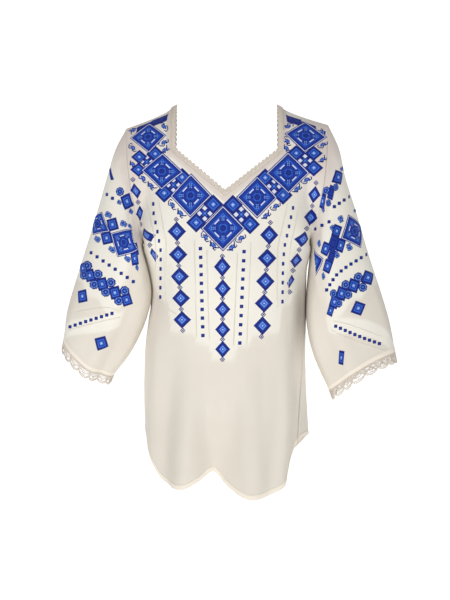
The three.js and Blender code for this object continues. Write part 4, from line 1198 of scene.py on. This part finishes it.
sleeveStitches = {
    "squareSide": 0.0195, "dotSide": 0.0066, "dot": 3.5,
    "growth": {"square": 1.17, "shell": 1.12, "scroll": 1.25, "mesh": 1.15},
    -1: {
        "starSides": 0.0462,
        "starCorners": [],
        "stars": [  # column, row, across, up, the place in the chart that lies there
            (105.6, 221.6, (20.5, -3.6), (-10.4, -24.6), (1.0, 0.5)),
            (123.8, 242.3, (17.0, -4.7), (-6.8, -22.9), (0.5, 0.5)),
        ],
        "squares": [
            (127.0, 201.4, (7.6, -3.2), (-3.8, -11.6)), (112.5, 224.5, (8.6, -2.4), (-2.6, -10.0)),
            (106.7, 238.0, (8.6, -2.2), (-2.6, -10.0)), (134.6, 258.4, (6.0, -1.5), (-1.5, -11.0)),
        ],
        "meshes": [(136.6, 249.0, (3.4, -0.6), (-1.4, -11.0)), (110.7, 174.0, (2.4, -0.8), (-1.8, -10.0))],
        "bars": [
            (82.9, 268.2, (8.0, -2.0), (-2.5, -10.0)), (89.9, 275.4, (8.0, -2.0), (-2.5, -10.0)),
            (102.2, 284.0, (8.4, -2.0), (-2.5, -10.2)), (114.9, 292.7, (8.8, -2.2), (-2.5, -10.2)),
            (126.6, 299.8, (8.0, -3.0), (-3.0, -9.5)), (82.4, 296.2, (7.6, -1.8), (-1.0, -10.4)),
            (101.4, 343.3, (9.7, -2.9), (-3.2, -10.0)),
        ],
        "shells": [
            (97.8, 274.4, (6.5, 5.0), (5.0, -6.5)), (110.8, 282.6, (6.5, 5.0), (5.0, -6.5)),
            (124.6, 290.9, (6.5, 5.0), (5.0, -6.5)), (87.0, 265.6, (6.5, 5.0), (5.0, -6.5)),
            (84.0, 274.8, (-6.5, -5.0), (-5.0, 6.5)), (94.2, 284.4, (-6.5, -5.0), (-5.0, 6.5)),
            (105.8, 292.0, (-6.5, -5.0), (-5.0, 6.5)), (118.8, 300.6, (-6.5, -5.0), (-5.0, 6.5)),
            (119.9, 191.6, (6.5, -3.0), (-3.0, -7.0)),
        ],
        "scrolls": [
            (108.2, 214.8, (5.5, -2.0), (-2.0, -6.0)), (123.6, 223.8, (5.5, -2.0), (-2.0, -6.0)),
            (97.2, 239.0, (5.0, -1.5), (1.5, 6.0)), (112.0, 249.4, (5.5, -1.5), (2.0, 6.0)),
            (127.4, 258.8, (5.0, -1.5), (2.0, 6.0)), (129.9, 226.2, (3.0, -1.0), (-1.0, -4.0)),
            (119.2, 202.4, (3.5, -1.5), (-1.0, -4.5)), (131.0, 211.6, (3.5, -1.5), (-1.0, -5.0)),
            (137.0, 267.6, (2.6, -1.0), (-0.5, -6.0)),
        ],
        "dots": [
            ([(101.0, 191.0), (106.3, 194.2), (112.4, 198.3)], 3), ([(91.0, 252.7), (133.3, 281.6)], 8),
            ([(112.0, 313.4), (85.9, 321.5), (69.9, 326.8)], 9),
        ],
        "paleLines": [
            [(76.0, 312.5), (104.0, 307.6), (119.0, 311.0)], [(68.5, 330.5), (86.0, 325.5), (120.0, 317.0)],
        ],
    },
    1: {
        "starSides": 0.050,
        "stars": [(344.8, 226.4, (17.7, 7.4), (7.7, -23.9), (0.0, 0.5))],
        "starCorners": [(324.0, 258.8, (6.8, 5.4), (4.5, -11.9), (1.0, 1.0))],
        "squares": [
            (338.4, 177.3, (7.3, 2.7), (3.2, -11.8)), (322.5, 201.2, (4.6, 2.0), (2.2, -12.0)),
            (336.8, 231.0, (6.6, 2.6), (3.0, -9.8)), (340.6, 245.4, (6.2, 2.8), (3.2, -10.6)),
            (325.6, 248.8, (6.8, 3.2), (4.2, -10.2)), (327.6, 266.2, (6.4, 3.2), (3.6, -10.4)),
        ],
        "meshes": [
            (333.0, 243.6, (6.6, 3.6), (4.4, -13.0)), (331.6, 256.2, (5.6, 3.0), (3.8, -12.0)),
            (331.4, 192.4, (5.2, 2.6), (3.4, -12.0)),
        ],
        "bars": [
            (368.0, 277.6, (8.6, 3.0), (3.4, -10.2)), (353.5, 285.6, (8.6, 3.2), (3.4, -10.2)),
            (341.6, 293.5, (8.0, 3.2), (3.2, -10.4)), (334.4, 301.8, (6.8, 3.2), (3.0, -10.2)),
            (330.6, 310.6, (4.6, 2.4), (2.6, -8.6)), (358.3, 308.2, (8.8, 3.1), (4.3, -10.0)),
            (341.3, 357.7, (4.2, 1.0), (1.0, -12.0)),
        ],
        "shells": [
            (358.3, 277.0, (6.5, -4.5), (-4.0, -6.5)), (345.7, 284.7, (6.0, -4.5), (-4.0, -6.5)),
            (362.8, 287.2, (-6.5, 4.5), (4.0, 6.5)), (348.1, 294.5, (-6.0, 4.5), (4.0, 6.5)),
            (338.9, 303.2, (-5.0, 4.5), (3.4, 6.0)), (333.4, 293.6, (5.0, -4.5), (-3.4, -6.0)),
            (325.8, 190.8, (6.8, -2.6), (-1.0, -6.8)), (335.8, 187.2, (4.6, -2.4), (-1.6, -6.0)),
            (328.4, 202.9, (4.6, -2.0), (-1.6, -6.0)),
        ],
        "scrolls": [
            (340.8, 219.2, (5.0, 1.5), (2.0, -6.0)), (332.6, 228.4, (4.5, 1.5), (1.6, -5.5)),
            (349.4, 247.0, (5.5, 2.0), (-2.0, 6.0)), (337.0, 254.5, (4.5, 1.5), (-1.5, 6.0)),
            (319.0, 243.6, (3.0, 1.0), (1.2, -6.0)), (323.4, 276.0, (3.0, 1.0), (-1.0, 6.0)),
            (355.2, 210.6, (4.0, 2.0), (2.0, -5.0)), (317.4, 210.4, (2.6, 1.0), (1.0, -5.5)),
            (342.2, 168.8, (4.0, 2.0), (3.0, -5.0)),
        ],
        "dots": [
            ([(349.2, 196.7), (334.4, 206.6)], 4), ([(329.0, 221.8), (314.8, 228.9)], 3),
            ([(366.4, 254.5), (348.1, 265.8), (337.6, 273.6), (332.0, 281.1), (326.6, 289.9)], 10),
            ([(335.7, 326.2), (349.5, 332.3), (366.4, 339.2), (379.4, 343.6)], 10),
        ],
        "paleLines": [
            [(333.0, 321.0), (352.0, 325.8), (383.0, 337.0)],
            [(331.5, 330.0), (350.0, 339.0), (384.0, 351.0)],
        ],
    },
}


sleeveGroups = (
    ("mesh", "meshes"), ("square", "squares"), ("square", "bars"), ("shell", "shells"),
    ("scroll", "scrolls"),
)


def embroiderSleeve(side, name, look, plan):
    bm, tree = newStitching(), sleeveTrees[side]
    for chart, group in (("star", "stars"), ("starCorner", "starCorners")):
        for column, row, across, up, held in plan[group]:
            spot = seenSpot(tree, column, row)
            ways = [wayOnCloth(spot, column, row, step, False) for step in (across, up)]
            arrows = [way.normalized() * plan["starSides"] for way in ways]
            spot, arrows = slideOnCloth(tree, spot, arrows, (0.5 - held[0], 0.5 - held[1]))
            stitchMotif(bm, tree, chart, spot, *arrows)
    for behind in (False, True):
        for chart, group in sleeveGroups:
            size = look["squareSide"] if chart == "square" else None
            for column, row, across, up in plan[group]:
                stitchSeen(bm, tree, chart, column, row, across, up, behind, size, look["growth"][chart])
        across, up = (look["dot"], 0), (0, -look["dot"])
        for path, count in plan["dots"]:
            for column, row in alongPath(path, count):
                stitchSeen(bm, tree, "dot", column, row, across, up, behind, look["dotSide"])
    return finishMesh(name, bm, threadMaterial, smooth=False)


sleeveEmbroidery = {
    side: embroiderSleeve(side, name, sleeveStitches, sleeveStitches[side])
    for side, name in ((1, "leftSleeveEmbroidery"), (-1, "rightSleeveEmbroidery"))
}
print("sleeves embroidered", [len(piece.data.polygons) for piece in sleeveEmbroidery.values()])


# Raised white tucks beside the rows of dots

def makePaleLines(name, groups, radius=0.8):  # each group is a cloth and its lines
    strands = []
    for tree, lines, behinds in groups:
        for line in lines:
            for behind in behinds:
                path = throughPoints(np.array(line, float), np.linspace(0, 1, 60), closed=False)
                spots = [seenSpot(tree, column, row, behind) for column, row in path]
                points = [point + normal * 0.1 * mm for point, normal in spots if point is not None]
                strands.append((np.array(points) / mm, radius, False))
    return makeStrands(name, strands, whiteThreadMaterial)


paleTucks = makePaleLines("paleTucks", [
    (frontTree, frontStitches["paleLines"], (False,)),
    (sleeveTrees[1], sleeveStitches[1]["paleLines"], (False, True)),
    (sleeveTrees[-1], sleeveStitches[-1]["paleLines"], (False, True)),
])
print("pale tucks raised")


# Room, light and camera

stageLook = {
    "floorZ": -1.45, "wallY": 4.5, "half": 6.0, "wallTall": 6.0, "bend": 1.5, "bendSegments": 12,
    "white": (0.9, 0.9, 0.9, 1.0), "glow": 0.7, "ambient": 0.22, "target": (0, 0, -0.35),
    "lamps": {  # place, size, power
        "keyLight": ((-1.25, -2.3, 0.9), 1.1, 31), "fillLight": ((1.4, -2.3, 0.1), 1.4, 17),
    },
}


def makeRoom(look):
    bm = bmesh.new()
    bmesh.ops.create_grid(bm, x_segments=1, y_segments=1, size=look["half"])
    bmesh.ops.translate(bm, verts=bm.verts, vec=(0, look["wallY"] - look["half"], look["floorZ"]))
    backEdge = [edge for edge in bm.edges if all(v.co.y > look["wallY"] - 0.01 for v in edge.verts)]
    raised = bmesh.ops.extrude_edge_only(bm, edges=backEdge)["geom"]
    top = [v for v in raised if isinstance(v, bmesh.types.BMVert)]
    bmesh.ops.translate(bm, verts=top, vec=(0, 0, look["wallTall"]))
    corner = [edge for edge in bm.edges if len(edge.link_faces) == 2]
    bmesh.ops.bevel(bm, geom=corner, affect="EDGES", offset=look["bend"], segments=look["bendSegments"],
                    profile=0.5, material=-1)
    bmesh.ops.recalc_face_normals(bm, faces=bm.faces)
    mesh = bpy.data.meshes.new("room")
    for face in bm.faces:
        face.smooth = True
    bm.to_mesh(mesh)
    bm.free()
    material, shader, _ = newMaterial("roomWhite", {"Base Color": look["white"], "Roughness": 0.9})
    shader.inputs["Emission Color"].default_value = (1, 1, 1, 1)
    shader.inputs["Emission Strength"].default_value = look["glow"]
    mesh.materials.append(material)
    room = bpy.data.objects.new("room", mesh)
    bpy.context.scene.collection.objects.link(room)
    return room


def turnTowards(place, target):
    return (Vector(target) - Vector(place)).to_track_quat("-Z", "Y").to_euler()


def addLight(name, place, size, power):
    lamp = bpy.data.lights.new(name, "AREA")
    lamp.shape, lamp.size, lamp.energy = "DISK", size, power
    holder = bpy.data.objects.new(name, lamp)
    holder.location = place
    holder.rotation_euler = turnTowards(place, stageLook["target"])
    bpy.context.scene.collection.objects.link(holder)


makeRoom(stageLook)
for name, lamp in stageLook["lamps"].items():
    addLight(name, *lamp)
world = bpy.data.worlds.new("studio")
world.use_nodes = True
sky = world.node_tree.nodes["Background"].inputs
sky["Color"].default_value = (1, 1, 1, 1)
sky["Strength"].default_value = stageLook["ambient"]
bpy.context.scene.world = world
bpy.context.scene.view_settings.view_transform = "Standard"

lens = bpy.data.cameras.new("camera")
lens.lens, lens.sensor_width = cameraLook["lens"], cameraLook["sensor"]
camera = bpy.data.objects.new("camera", lens)
camera.location = cameraLook["place"]
camera.rotation_euler = turnTowards(cameraLook["place"], cameraLook["aim"])
bpy.context.scene.collection.objects.link(camera)
bpy.context.scene.camera = camera

print("room and camera set")
